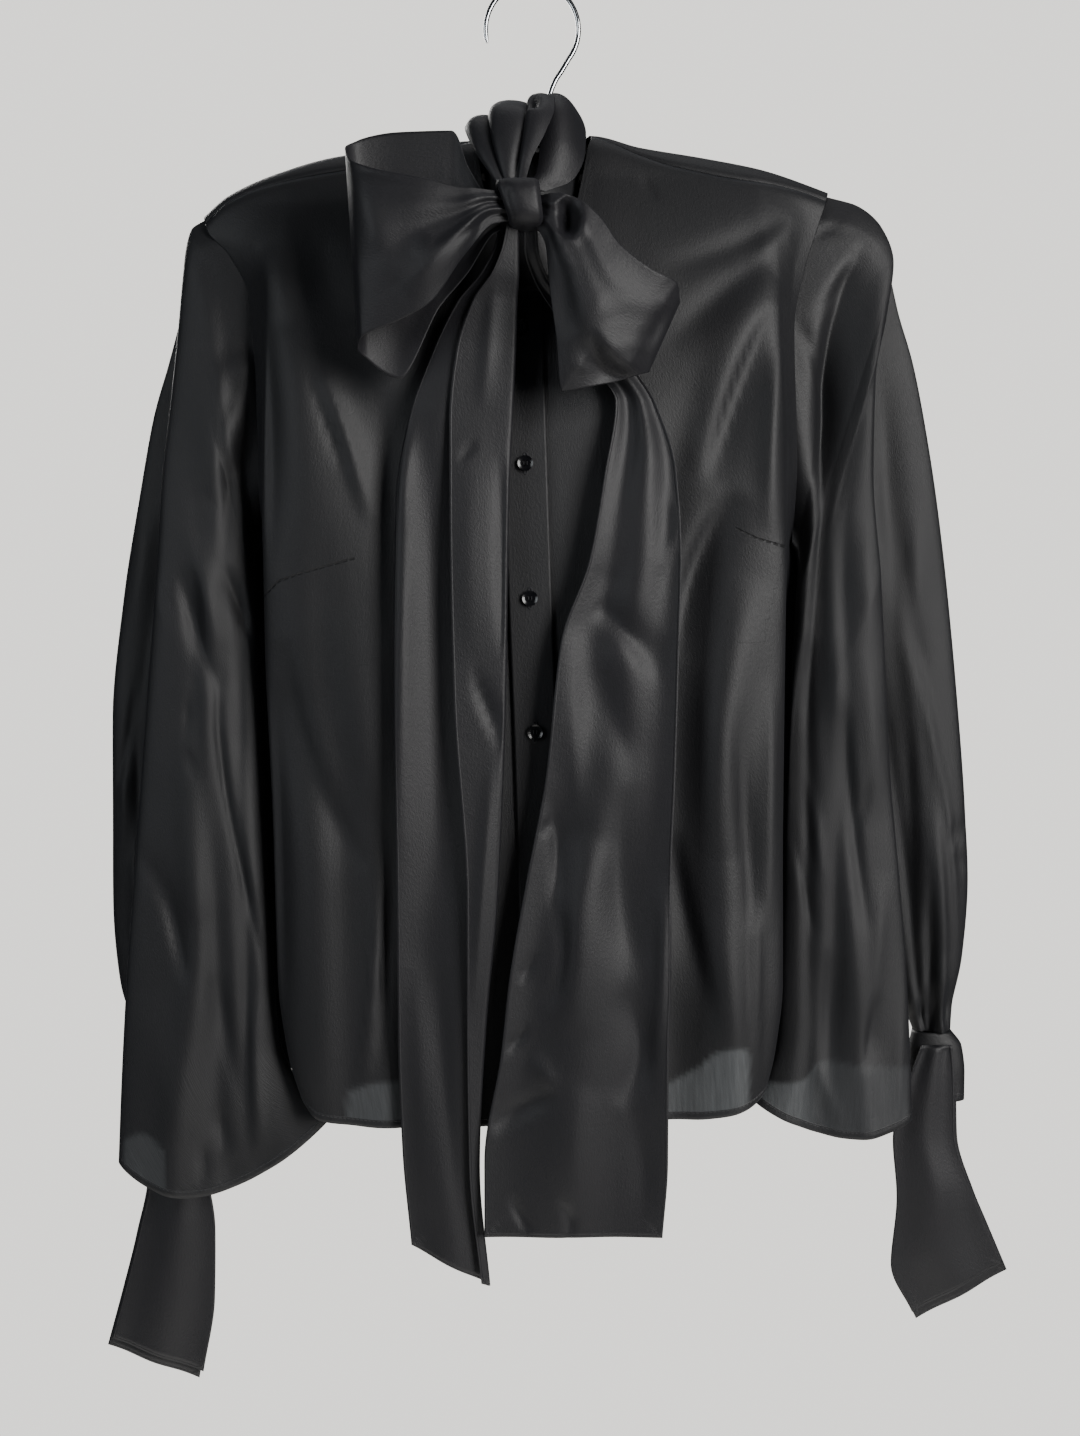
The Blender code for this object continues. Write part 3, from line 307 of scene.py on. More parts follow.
# creases on the front layer of each over-sleeve, and others on its back layer; x here counts outwards
OVERSLEEVE_CREASES = {
    LEFT: Table(
        CREASE_COLUMNS,
        (204, 150, 180, 270, 168, 450, 4, 17, -13), (196, 165, 188, 215, 183, 262, 4, 12, -3),
        (163, 188, 168, 242, 165, 340, 7, 7, 4.5), (172, 196, 183, 242, 173, 297, 2, 4, -2.8),
        (215, 169, 206, 234, 203, 311, 7, 3, 4.5), (196, 165, 193, 178, 181, 198, 3, 4, -2.6),
        (203, 321, 201, 360, 206, 400, 8, 8, 3.2), (190, 138, 182, 144, 175, 146, 3, 4, -2),
        (168, 390, 158, 460, 157, 540, 6, 18, -8), (189, 430, 193, 487, 204, 571, 10, 3, -5.5),
        (198, 381, 205, 440, 209, 499, 10, 12, 4), (206, 478, 200, 494, 196, 507, 2, 3, -2.2),
        (166, 470, 173, 511, 176, 544, 3, 3, 2.2), (159, 511, 167, 549, 173, 578, 2, 4, -2.2),
        (214, 535, 210, 583, 208, 636, 8, 6, 3), (210, 607, 206, 632, 202, 656, 3, 6, -2.6),
        (230, 583, 226, 644, 224, 688, 6, 5, 2.4), (181, 583, 180, 619, 182, 656, 6, 9, -3),
        (182, 132, 179, 136, 178, 138, 2, 3, -1.6), (175, 651, 180, 670, 188, 690, 3, 5, 1.8)),
    RIGHT: Table(
        CREASE_COLUMNS,
        (183, 159, 187, 175, 181, 191, 6, 4, -3.2), (191, 210, 183, 229, 178, 245, 6, 3, -4),
        (191, 222, 188, 274, 192, 310, 8, 12, 4.5), (186, 246, 182, 274, 185, 349, 8, 3, -5),
        (176, 201, 180, 232, 175, 278, 5, 3, -4.5), (171, 196, 169, 257, 166, 337, 3, 4, 3.5),
        (185, 346, 177, 372, 167, 399, 5, 4, -4.5), (208, 324, 196, 360, 188, 399, 8, 6, 4),
        (214, 351, 207, 372, 202, 399, 7, 3, -3.4), (208, 369, 197, 402, 187, 426, 6, 2.5, -3.6),
        (187, 416, 184, 487, 159, 607, 3, 2, -3.6), (179, 452, 173, 511, 166, 554, 6, 6, 3.6),
        (200, 416, 207, 511, 201, 564, 10, 10, 3.4), (207, 428, 207, 440, 209, 452, 3, 2.5, -1.8),
        (208, 459, 205, 468, 201, 476, 3, 2, -2), (242, 520, 223, 549, 210, 598, 8, 4, -3),
        (221, 540, 215, 576, 207, 602, 4, 3, -2), (192, 595, 186, 632, 180, 673, 6, 5, -3.4),
        (194, 678, 190, 690, 187, 707, 4, 3, -2.4), (204, 698, 201, 710, 202, 727, 4, 3, -2),
        (169, 607, 169, 668, 165, 710, 5, 5, 3), (174, 583, 173, 644, 172, 705, 3, 3, -2),
        (236, 607, 223, 656, 209, 705, 16, 14, 2.4), (188, 157, 184, 161, 183, 163, 3, 2, -1.6),
        (176, 175, 174, 178, 173, 182, 3, 3, -2))}
OVERSLEEVE_BACK_CREASES = Table(
    CREASE_COLUMNS,
    (200, 180, 190, 300, 196, 430, 8, 10, 3.0), (176, 240, 180, 400, 172, 560, 6, 8, -3.0),
    (212, 420, 216, 560, 224, 760, 9, 7, 2.6), (186, 470, 190, 600, 186, 760, 7, 9, 2.8))
UNDERSLEEVE_CREASES = {
    LEFT: Table(
        CREASE_COLUMNS,
        (237, 316, 236, 360, 240, 400, 8, 8, 3.2), (212, 225, 219, 310, 226, 420, 8, 10, -4.5),
        (231, 393, 244, 440, 254, 492, 5, 4, 3.4), (251, 464, 261, 523, 266, 596, 2.5, 3, 2.4),
        (273, 505, 265, 514, 257, 519, 2, 3, -3.4), (261, 523, 268, 533, 274, 535, 3, 3, -2),
        (245, 502, 249, 540, 256, 588, 8, 8, 3.4), (231, 440, 236, 511, 240, 583, 8, 5, -3.4),
        (244, 610, 245, 624, 243, 638, 2, 2.5, -2), (252, 606, 253, 622, 251, 638, 2, 2, -2.2),
        (259, 610, 260, 622, 258, 636, 2.5, 3, -2.2)),
    RIGHT: Table(
        CREASE_COLUMNS,
        (237, 310, 241, 346, 246, 394, 8, 8, 2.6), (249, 428, 254, 511, 252, 583, 6, 4, 3),
        (244, 416, 253, 464, 258, 482, 4, 3, -3), (256, 487, 254, 535, 255, 588, 5, 4, -2.4),
        (246, 440, 245, 487, 250, 535, 5, 5, -3), (240, 620, 238, 636, 240, 652, 2, 2.5, -2.2),
        (231, 622, 231, 636, 232, 650, 2, 2.5, -2))}
UNDERSLEEVE_BACK_CREASES = Table(
    CREASE_COLUMNS,
    (206, 180, 216, 280, 226, 400, 9, 8, 3.0), (224, 300, 240, 420, 250, 560, 6, 9, -3.0),
    (262, 400, 268, 480, 262, 600, 6, 5, 2.4), (270, 512, 258, 520, 244, 522, 3, 4, -2.4))
TAIL_LEFT_CREASES = Table(
    CREASE_COLUMNS,
    (64, 264, 54, 320, 46, 357, 12, 10, 3.6), (36, 371, 54, 387, 78, 414, 6, 10, -5),
    (41, 404, 48, 438, 62, 472, 12, 12, -4.5), (24, 384, 24, 445, 28, 503, 12, 10, 4.4),
    (9, 479, 15, 517, 11, 548, 4, 6, -3), (38, 506, 24, 565, 24, 624, 12, 12, 5),
    (58, 462, 50, 530, 62, 586, 12, 12, -5.4), (54, 596, 64, 635, 50, 666, 8, 9, -4.6),
    (76, 530, 76, 582, 73, 656, 5, 4, 3), (-16, 632, -8, 626, -2, 617, 2, 3, -2.4),
    (-7, 591, -2, 584, 3, 577, 2, 3, -2), (-24, 679, -8, 670, 14, 658, 4, 8, -4),
    (13, 541, 18, 576, 9, 607, 5, 6, -3.4), (-13, 719, -7, 732, -1, 742, 2.5, 4, -2),
    (14, 723, 22, 733, 17, 743, 2.5, 4, -2), (76, 307, 83, 327, 71, 354, 5, 5, 2.4),
    (-1, 635, 7, 645, 14, 656, 5, 5, 2.4), (31, 652, 25, 688, 28, 741, 14, 14, 2.6),
    (3, 506, 9, 500, 14, 497, 2, 2.5, -1.6), (56, 666, 66, 698, 63, 741, 8, 8, -2))
TAIL_RIGHT_CREASES = Table(
    CREASE_COLUMNS,
    (-71, 277, -75, 377, -77, 520, 5, 6, 3.2), (-60, 261, -57, 377, -54, 555, 12, 12, -4.4),
    (-68, 576, -66, 652, -62, 741, 9, 9, 3), (-54, 582, -51, 652, -41, 752, 7, 7, -2.6),
    (-67, 264, -73, 297, -75, 330, 3, 5, 2.4), (-48, 190, -58, 215, -66, 240, 3, 5, -1.8))
TAIL_FLAP_CREASES = Table(
    CREASE_COLUMNS,
    (-36, 411, -26, 433, -17, 452, 2, 5, -3.2), (-33, 264, -35, 344, -32, 404, 14, 14, 2.4),
    (-22, 458, -28, 530, -34, 610, 5, 5, 2.4), (-18, 284, -17, 344, -16, 404, 4, 4, -2.2),
    (-41, 291, -36, 284, -30, 281, 2, 3, -1.2), (-20, 190, -24, 220, -28, 262, 4, 5, 1.6))
KNOT_CREASES = Table(
    CREASE_COLUMNS,
    (-16, 136, -13, 150, -8, 166, 3, 2, -1.0), (2, 136, 5, 150, 5, 164, 2.5, 3, -0.8),
    (-12, 146, -6, 150, 0, 162, 5, 5, 0.5))
LOOP_RIGHT_CREASES = Table(
    CREASE_COLUMNS,
    (-20, 149, -41, 177, -72, 198, 6, 9, 5), (-19, 154, -31, 172, -41, 193, 3, 3, -2.6),
    (-31, 149, -58, 167, -96, 190, 10, 16, -3.6), (-92, 136, -90, 159, -72, 196, 12, 12, 3.4),
    (-23, 154, -28, 164, -31, 171, 2, 2, -1.8), (-52, 171, -57, 177, -63, 184, 6, 6, 1.6))
LOOP_LEFT_CREASES = Table(
    CREASE_COLUMNS,
    (16, 150, 20, 160, 17, 171, 5, 5, -14), (26, 152, 28, 166, 16, 177, 3, 3, 3.0),
    (36, 218, 48, 235, 65, 239, 4, 12, 4.8), (33, 224, 41, 240, 62, 245, 9, 3, -6.5),
    (25, 243, 30, 240, 37, 247, 5, 6, 1.2), (20, 185, 18, 205, 21, 224, 6, 7, -3),
    (12, 154, 15, 162, 12, 170, 2.5, 3, 1.8), (41, 159, 64, 180, 78, 193, 8, 6, 2.4),
    (40, 198, 36, 211, 32, 223, 9, 9, 1.8), (76, 206, 70, 219, 65, 231, 5, 5, -2.4))
WRAP_CREASES = Table(
    CREASE_COLUMNS,
    (-2, 86, 1, 91, 0, 97, 3.5, 3.5, -6), (-10, 138, -8, 126, -4, 100, 2, 2, -2))

# each bust dart's stitch line, from point to point: x, down
DARTS = {
    RIGHT: ((-160, 369), (-148, 358), (-133, 353), (-104, 345)),
    LEFT: ((119, 327), (131, 333), (149, 338))}
# added to a dart's distance, so that no line shows where there is no dart
DART_FAR = 100.0
# where only one layer hangs against the light: the line below which light from behind is painted as showing
# through it, and how strongly it is painted
PAINTED_BACKLIGHT_HEMS = {
    "back": Table("x down amount", (-70, 672, 0.5), (0, 664, 0.7), (80, 670, 0.5)),
    "front_left": Table(
        "x down amount",
        (78, 660, 1), (84, 657, 1), (100, 647, 1), (112, 637, 1), (125, 635, 1), (131, 640, 1)),
    "front_right": Table("x down amount", (-112, 664, 0.7), (-95, 657, 0.7), (-72, 655, 0.7)),
    "sleeve_left": Table(
        "x down amount",
        (124, 660, 0.9), (150, 664, 0.9), (166, 662, 0.8), (176, 650, 0.3), (232, 654, 0.3)),
    "sleeve_right": Table("x down amount", (-252, 700, 0.5), (-238, 694, 0.5), (-222, 704, 0.5))}


def fold_relief(folds, x, down):
    """Sum of the long soft folds at a place on a panel."""
    relief = np.zeros_like(x)
    for row in folds.rows:
        _, top_x, top, bottom_x, bottom, width, height = row
        along = np.clip((down - top) / (bottom - top), 0, 1)
        line = top_x + (bottom_x - top_x) * along
        fade = np.sin(np.clip((down - top) / (bottom - top) * 0.85, 0, 0.85) * math.pi / 1.7)
        relief += height * fade * np.exp(-((x - line) / width) ** 2)
    return relief


def over_bar(section_y, below):
    """The half depth of the cloth, which turns round over the bar and fills out below it."""
    near = np.sqrt(1 - (1 - np.clip(below / 15.0, 0, 1)) ** 2)
    far = np.sqrt(1 - (1 - np.clip(below / 170.0, 0, 1)) ** 2)
    depth = np.abs(section_y)
    rounding = np.minimum(SHOULDER_ROUND, depth)
    return np.sign(section_y) * (rounding * near + (depth - rounding) * far)


def smooth_across(knots, values, at):
    """Monotone cubic at each point of a grid, each point with its own row of values."""
    knots = np.asarray(knots, float)
    shape = at.shape
    at = np.clip(at.ravel(), knots[0], knots[-1])
    values = np.stack([np.broadcast_to(value, shape).ravel() for value in values])
    step = np.diff(knots)[:, None]
    slope = np.diff(values, axis=0) / step
    tangent = np.zeros_like(values)
    same = slope[:-1] * slope[1:] > 0
    tangent[1:-1] = np.where(same, 2 * slope[:-1] * slope[1:] / np.where(same, slope[:-1] + slope[1:], 1), 0)
    tangent[0], tangent[-1] = slope[0], slope[-1]
    row = np.clip(np.searchsorted(knots, at, side="right") - 1, 0, len(knots) - 2)
    point = np.arange(len(at))
    span = step[row, 0]
    t = (at - knots[row]) / span
    low, high = tangent[row, point], tangent[row + 1, point]
    rise = values[row + 1, point] - values[row, point]
    made = (values[row, point] + t * span * low + t * t * (3 * rise - span * (2 * low + high))
            + t ** 3 * (span * (low + high) - 2 * rise))
    return made.reshape(shape)


def crease_relief(creases, x, down):
    """How far soft creases stand out at each place; each runs through three points, top to bottom.

    "left" and "right" are the widths of its two flanks, so a fold can be sharp on one side.
    """
    relief = np.zeros_like(x)
    for x0, down0, x1, down1, x2, down2, left, right, height in creases.rows:
        bend_x, bend_down = 2 * x1 - (x0 + x2) / 2, 2 * down1 - (down0 + down2) / 2
        t = np.linspace(0, 1, CREASE_STEPS)
        line_x = (1 - t) ** 2 * x0 + 2 * t * (1 - t) * bend_x + t ** 2 * x2
        line_down = (1 - t) ** 2 * down0 + 2 * t * (1 - t) * bend_down + t ** 2 * down2
        way_x, way_down = np.gradient(line_x), np.gradient(line_down)
        reach = 3 * max(left, right)
        near = ((x > line_x.min() - reach) & (x < line_x.max() + reach)
                & (down > line_down.min() - reach) & (down < line_down.max() + reach))
        if not near.any():
            continue
        off_x, off_down = x[near][:, None] - line_x, down[near][:, None] - line_down
        step = np.argmin(off_x ** 2 + off_down ** 2, axis=1)
        row = np.arange(len(step))
        off_x, off_down = off_x[row, step], off_down[row, step]
        way_x, way_down = way_x[step], way_down[step]
        length = np.hypot(way_x, way_down)
        away = (off_x * way_down - off_down * way_x) / length
        onward = np.clip((off_x * way_x + off_down * way_down) / length ** 2, -1, 1)
        along = (step + onward) / (CREASE_STEPS - 1)
        width = np.where(away < 0, left, right)
        fade = np.sin(math.pi * np.clip(along, 0, 1)) ** CREASE_FADE
        relief[near] += height * fade * np.exp(-np.abs(away / width) ** CREASE_FLANK)
    return relief


def front_point(side, across, down):
    """A place on the front: across runs from the button line to the side edge."""
    front, fold, fold_y, root, root_y, turn, turn_y, edge, edge_y = np.moveaxis(
        BODY[side].all(down)[..., :9], -1, 0)
    centre = side * CENTRE("x", down) + CENTRE_CLEAR
    reach = fold - centre
    xs = (centre, centre + 0.33 * reach, centre + 0.67 * reach, fold - 9, fold, root,
          (root + turn) / 2, turn, edge)
    ys = (front, front - 1, front, (front + fold_y) / 2 - 1, fold_y, root_y,
          (root_y + turn_y) / 2, turn_y, edge_y)
    x = side * smooth_across(ACROSS, xs, across)
    y = smooth_across(ACROSS, ys, across)
    calm = np.clip((0.80 - across) / 0.2, 0, 1)
    quiet_edge = np.clip(1 - across, 0, 0.06) / 0.06
    relief = calm * fold_relief(FRONT_FOLDS, x, down) - quiet_edge * crease_relief(FRONT_CREASES, x, down)
    y = over_bar(y + relief, down - RIDGE("down", x))
    return np.stack((x, y, -down), -1)


def back_point(side, across, down):
    """A place on the back, on the same columns as the front at the shoulder."""
    edge, _, back, back_edge = np.moveaxis(BODY[side].all(down)[..., 7:], -1, 0)
    top = BODY[side].rows[0, 0]
    top_x = side * front_point(side, across, np.full_like(down, top))[..., 0]
    top_edge = BODY[side].rows[0, 8]
    part = np.clip(top_x / top_edge, -1, 1)
    x = side * part * edge
    y = back_edge + (back - back_edge) * np.sqrt(np.clip(1 - part ** 4, 0, 1))
    calm = np.clip((0.97 - part) / 0.12, 0, 1)
    y = y + calm * (fold_relief(BACK_FOLDS, x, down) + crease_relief(BACK_CREASES, x, down))
    return np.stack((x, over_bar(y, down - RIDGE("down", x)), -down), -1)


def grid_faces(rows, columns, ring):
    """Four-sided faces between neighbouring points of a grid, closed round on a ring."""
    faces = []
    for row in range(rows - 1):
        for column in range(columns if ring else columns - 1):
            after = (column + 1) % columns
            faces.append((row * columns + column, row * columns + after,
                          (row + 1) * columns + after, (row + 1) * columns + column))
    return faces


def lengths_along(grid, axis):
    """The length of cloth from the first row or column to each point, in mm."""
    step = np.linalg.norm(np.diff(grid, axis=axis), axis=-1)
    pad = [(0, 0), (0, 0)]
    pad[axis] = (1, 0)
    return np.cumsum(np.pad(step, pad), axis=axis)


def write_uv(mesh, name, across, down):
    """A UV map in metres from two grids of lengths, which have one more column than the points on a ring."""
    rows, columns = across.shape
    row, column = [index.ravel() for index in np.meshgrid(range(rows - 1), range(columns - 1), indexing="ij")]
    corners = [(row, column), (row, column + 1), (row + 1, column + 1), (row + 1, column)]
    flat = np.stack([np.stack((across[corner], down[corner]), -1) for corner in corners], 1) * MM
    mesh.uv_layers.new(name=name).data.foreach_set("uv", flat.ravel())


def dart_map(grid, line):
    """For a sewn dart: the run along its line and the distance from it, both in mm; elsewhere, far off."""
    x, down = grid[..., 0], -grid[..., 2]
    run, away = np.zeros_like(x), np.full_like(x, 60.0)
    start = 0.0
    for (x0, down0), (x1, down1) in zip(line[:-1], line[1:]):
        length = math.hypot(x1 - x0, down1 - down0)
        way_x, way_down = (x1 - x0) / length, (down1 - down0) / length
        along = (x - x0) * way_x + (down - down0) * way_down
        off = (x - x0) * way_down - (down - down0) * way_x
        here = (along > -1.5) & (along < length + 1.5) & (np.abs(off) < np.abs(away))
        run = np.where(here, start + along, run)
        away = np.where(here, off, away)
        start += length
    return run, away + DART_FAR


def painted_backlight(grid, zones):
    """Where painted light shows through the single hem layer: below a line, from 0 to 1."""
    x, down = grid[..., 0], -grid[..., 2]
    inside = np.clip((x - zones.rows[0, 0]) / 3, 0, 1) * np.clip((zones.rows[-1, 0] - x) / 3, 0, 1)
    return zones("amount", x) * inside * np.clip((down - zones("down", x)) / 3 + 0.5, 0, 1)


def cloth(name, grid, look, wall=SATIN_WALL, ring=False, hems=(), dart=None, shine_through=None):
    """A shell of cloth through a grid of points in mm; hems names its turned and stitched edges."""
    rows, columns = grid.shape[:2]
    mesh = bpy.data.meshes.new(name)
    mesh.from_pydata((grid.reshape(-1, 3) * MM).tolist(), [], grid_faces(rows, columns, ring))
    closed = np.concatenate((grid, grid[:, :1]), axis=1) if ring else grid
    across, down = lengths_along(closed, 1), lengths_along(closed, 0)
    write_uv(mesh, "weave", across, down)
    far = np.full(across.shape, 1000.0)
    nearest, run = far, across
    edges = {"top": (down, across), "bottom": (down[-1:] - down, across),
             "left": (across, down), "right": (across[:, -1:] - across, down)}
    for edge in hems:
        distance, line = edges[edge]
        run = np.where(distance < nearest, line, run)
        nearest = np.minimum(nearest, distance)
    write_uv(mesh, "hem", run, nearest)
    if dart is not None:
        write_uv(mesh, "dart", *dart_map(grid, dart))
    # the places where painted light from behind shows through a single layer, kept on the points
    if shine_through is not None:
        mesh.attributes.new("shine_through", "FLOAT", "POINT").data.foreach_set("value", painted_backlight(grid, shine_through).ravel())
    made = bpy.data.objects.new(name, mesh)
    bpy.context.scene.collection.objects.link(made)
    mesh.materials.append(look)
    mesh.shade_smooth()
    shell = made.modifiers.new("layer", "SOLIDIFY")
    shell.thickness = wall * MM
    shell.offset = 0.0
    return made


def dress(piece, nodes):
    """The piece rides on the garment and stands for its solids, which it hides."""
    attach(piece, "root")
    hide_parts(*nodes)
    return piece


def black_satin(name, colour, warm, roughness, pucker_mm, hem_mm, stitched):
    """Lightweight polyester satin, piece-dyed black: long floats give it a soft, broad gloss.

    The weave is about 0.2 mm and is drawn at 1.2 mm by 2.4 mm, so that its grain shows in the render.
    """
    look = bpy.data.materials.new(name)
    look.use_nodes = True
    tree = look.node_tree
    shader = tree.nodes["Principled BSDF"]
    place = add_node(tree, "ShaderNodeTexCoord").outputs["Object"]
    weave = add_node(tree, "ShaderNodeUVMap", uv_map="weave").outputs[0]
    hem = add_node(tree, "ShaderNodeSeparateXYZ",
                   {0: add_node(tree, "ShaderNodeUVMap", uv_map="hem").outputs[0]}).outputs
    run, edge = hem[0], hem[1]

    def noise(vector, cells_mm, detail, rough=0.5):
        """Uneven noise with cells of the given width, height and depth in mm."""
        scaled = add_node(tree, "ShaderNodeMapping", {0: vector, 3: [1 / (cell * MM) for cell in cells_mm]})
        return add_node(tree, "ShaderNodeTexNoise", {"Vector": scaled.outputs[0], "Scale": 1.0,
                                                     "Detail": detail, "Roughness": rough}).outputs[0]

    def value(operation, *inputs, clamp=False):
        return add_node(tree, "ShaderNodeMath", dict(enumerate(inputs)), operation=operation,
                        use_clamp=clamp).outputs[0]

    cloudy = noise(place, (46, 46, 95), 2.0)
    creased = noise(place, (13, 13, 52), 3.0, 0.55)
    streaks = noise(weave, (2.2, 60, 1), 2.0)
    grain = noise(weave, (1.2, 2.4, 1), 3.0, 0.75)
    speckle = value("MULTIPLY", value("SUBTRACT", grain, 0.5), 0.8)
    shade = value("MULTIPLY_ADD", cloudy, 0.7, value("MULTIPLY_ADD", streaks, 0.35, speckle), clamp=True)
    tone = add_node(tree, "ShaderNodeMix", {0: shade, 6: (*linear(colour), 1), 7: (*linear(warm), 1)},
                    data_type="RGBA").outputs[2]

    # the hem: a turned band with a stitched line at its inner side, and the small puckers that it draws
    band = value("SUBTRACT", 1.0, value("MULTIPLY", value("SUBTRACT", edge, hem_mm * MM), 1 / (0.5 * MM)),
                 clamp=True)
    from_line = value("ABSOLUTE", value("SUBTRACT", edge, (hem_mm - 0.6) * MM))
    line = value("SUBTRACT", 1.0, value("MULTIPLY", from_line, 1 / (0.35 * MM)), clamp=True)
    dash = value("LESS_THAN", value("FRACT", value("MULTIPLY", run, 1 / (2.6 * MM))), 0.68)
    stitch = value("MULTIPLY", line, value("MULTIPLY", dash, stitched))
    calm = value("SUBTRACT", 1.0, value("MULTIPLY", edge, 1 / (13 * MM)), clamp=True)
    hem_place = add_node(tree, "ShaderNodeCombineXYZ", {0: run, 1: edge}).outputs[0]
    pucker = value("MULTIPLY", noise(hem_place, (5.5, 16, 1), 2.0), calm)
    height = value("ADD", value("MULTIPLY", band, 0.35 * MM), value("MULTIPLY", stitch, -0.3 * MM))
    height = value("ADD", height, value("MULTIPLY", pucker, pucker_mm * MM))
    dart_place = add_node(tree, "ShaderNodeSeparateXYZ",
                          {0: add_node(tree, "ShaderNodeUVMap", uv_map="dart").outputs[0]}).outputs
    off = value("ABSOLUTE", value("SUBTRACT", dart_place[1], DART_FAR * MM))
    dart = value("SUBTRACT", 1.0, value("MULTIPLY", off, 1 / (0.9 * MM)), clamp=True)
    dimple = value("GREATER_THAN", value("FRACT", value("MULTIPLY", dart_place[0], 1 / (4.5 * MM))), 0.35)
    sewn = value("MULTIPLY", dart, value("MULTIPLY_ADD", dimple, 0.6, 0.4))
    height = value("ADD", height, value("MULTIPLY", sewn, -0.7 * MM))
    height = value("ADD", height, value("MULTIPLY", grain, 0.3 * MM))
    height = value("ADD", height, value("MULTIPLY", creased, 0.14 * MM))
    height = value("ADD", height, value("MULTIPLY", cloudy, 0.9 * MM))
    bump = add_node(tree, "ShaderNodeBump", {"Strength": 0.8, "Distance": 1.0, "Height": height})
    tree.links.new(bump.outputs[0], shader.inputs["Normal"])

    faded = add_node(tree, "ShaderNodeMix", {0: value("MULTIPLY", stitch, 0.35), 6: tone,
                                             7: (*linear("#3c3e43"), 1)}, data_type="RGBA").outputs[2]
    # painted shade: a near-black line along each dart's seam, dashed at its stitches, where the groove lies
    # in shade
    painted_dart_shade = add_node(tree, "ShaderNodeMix", {0: value("MULTIPLY", sewn, 0.8), 6: faded,
                                            7: (*linear("#050506"), 1)}, data_type="RGBA").outputs[2]
    # painted light: a paler grey where light from behind shows through a single layer near the hem, weaker in
    # the turned band and streaked along the threads
    shine_through = add_node(tree, "ShaderNodeAttribute", attribute_name="shine_through").outputs["Fac"]
    inside = value("MULTIPLY_ADD", band, -0.9, 1.0)
    strands = noise(weave, (1.6, 22, 1), 2.0)
    shine_through = value("MULTIPLY", value("MULTIPLY", shine_through, inside), value("MULTIPLY_ADD", strands, 0.7, 0.3))
    # the base colour, with the painted backlight mixed in
    clear = add_node(tree, "ShaderNodeMix", {0: shine_through, 6: painted_dart_shade, 7: (*linear("#55585a"), 1)},
                     data_type="RGBA").outputs[2]
    tree.links.new(clear, shader.inputs["Base Color"])
    tree.links.new(value("MULTIPLY_ADD", grain, 0.16, roughness - 0.08), shader.inputs["Roughness"])
    shader.inputs["IOR"].default_value = 1.5
    shader.inputs["Specular IOR Level"].default_value = 0.5
    shader.inputs["Sheen Weight"].default_value = 0.06
    shader.inputs["Sheen Roughness"].default_value = 0.45
    shader.inputs["Sheen Tint"].default_value = (*linear("#8d93a0"), 1)
    return look


def plain_look(name, colour, roughness, metallic=0.0, bump_mm=0.0, cell_mm=1.0):
    """A moulded or drawn surface with faint unevenness in its gloss."""
    look = bpy.data.materials.new(name)
    look.use_nodes = True
    tree = look.node_tree
    shader = tree.nodes["Principled BSDF"]
    place = add_node(tree, "ShaderNodeTexCoord").outputs["Object"]
    cells = {"Vector": place, "Scale": 1 / (cell_mm * MM), "Detail": 3.0}
    uneven = add_node(tree, "ShaderNodeTexNoise", cells).outputs[0]
    rough = add_node(tree, "ShaderNodeMath", {0: uneven, 1: 0.12, 2: roughness - 0.06},
                     operation="MULTIPLY_ADD")
    bump = add_node(tree, "ShaderNodeBump", {"Strength": 0.6, "Distance": bump_mm * MM, "Height": uneven})
    tree.links.new(rough.outputs[0], shader.inputs["Roughness"])
    tree.links.new(bump.outputs[0], shader.inputs["Normal"])
    shader.inputs["Base Color"].default_value = (*linear(colour), 1)
    shader.inputs["Metallic"].default_value = metallic
    return look


def spread(count, ends=0.0):
    """Even places from 0 to 1, drawn closer at both ends."""
    even = np.linspace(0, 1, count)
    return even - ends * np.sin(2 * math.pi * even) / (2 * math.pi)


def top_x(side, across):
    """Where a panel's columns meet the shoulder."""
    start = BODY[side].rows[0, 0]
    return front_point(side, across, np.full_like(across, start))[..., 0]


def front_top(side, across):
    """The top edge of a front panel: its neckline, then the shoulder seam."""
    x = top_x(side, across)
    seam = RIDGE("down", x) + SHOULDER_SEAM("drop", np.abs(x))
    return np.where(np.abs(x) < NECK_SIDE, NECKLINE("down", np.abs(x)), seam)


def roll_in(distance, x):
    """How far a shoulder seam draws the edges on both its sides in, away from the neck opening."""
    return SEAM_ROLL * np.exp(-(distance / 1.6) ** 2) * np.clip((x - NECK_SIDE) / 4, 0, 1)


def front_grid(side):
    """A front panel, from its neckline and shoulder seam to its curved hem."""
    across, part = np.meshgrid(spread(104, 0.5), spread(176, 0.35))
    top = front_top(side, across[0])
    hem = FRONT_HEM[side]("down", across[0])
    grid = front_point(side, across, top + (hem - top) * part)
    grid[..., 1] += roll_in((hem - top) * part, np.abs(top_x(side, across[0])))
    return grid


def back_grid():
    """The whole back, from its shoulder seams in front of the bar, over it and down."""
    wrap_rows = 12
    halves = []
    for side in (RIGHT, LEFT):
        across = spread(92, 0.4)[1:]
        x = top_x(side, across)
        ridge = RIDGE("down", x)
        neck = np.abs(x) < NECK_SIDE - 1
        start = np.where(neck, 0.3, 2 * SEAM - SHOULDER_SEAM("drop", np.abs(x)))
        turn = np.where(neck, 5.0, 0.0)
        lines = []
        for step in range(wrap_rows):
            below = start + (turn - start) * step / (wrap_rows - 1)
            over = front_point(side, across, ridge - below)
            over[:, 1] += roll_in(below - start, np.abs(x))
            behind = back_point(side, across, ridge + np.maximum(below, 0))
            lines.append(np.where((below < 0)[:, None], over, behind))
        below_ridge = ridge + turn
        for part in spread(150, 0.3)[1:]:
            hem = BACK_HEM("down", x * BODY[side].rows[-1, 8] / BODY[side].rows[0, 8])
            lines.append(back_point(side, across, below_ridge + (hem - below_ridge) * part))
        half = np.stack(lines)
        halves.append(half[:, ::-1] if side == RIGHT else half)
    return np.concatenate(halves, axis=1)


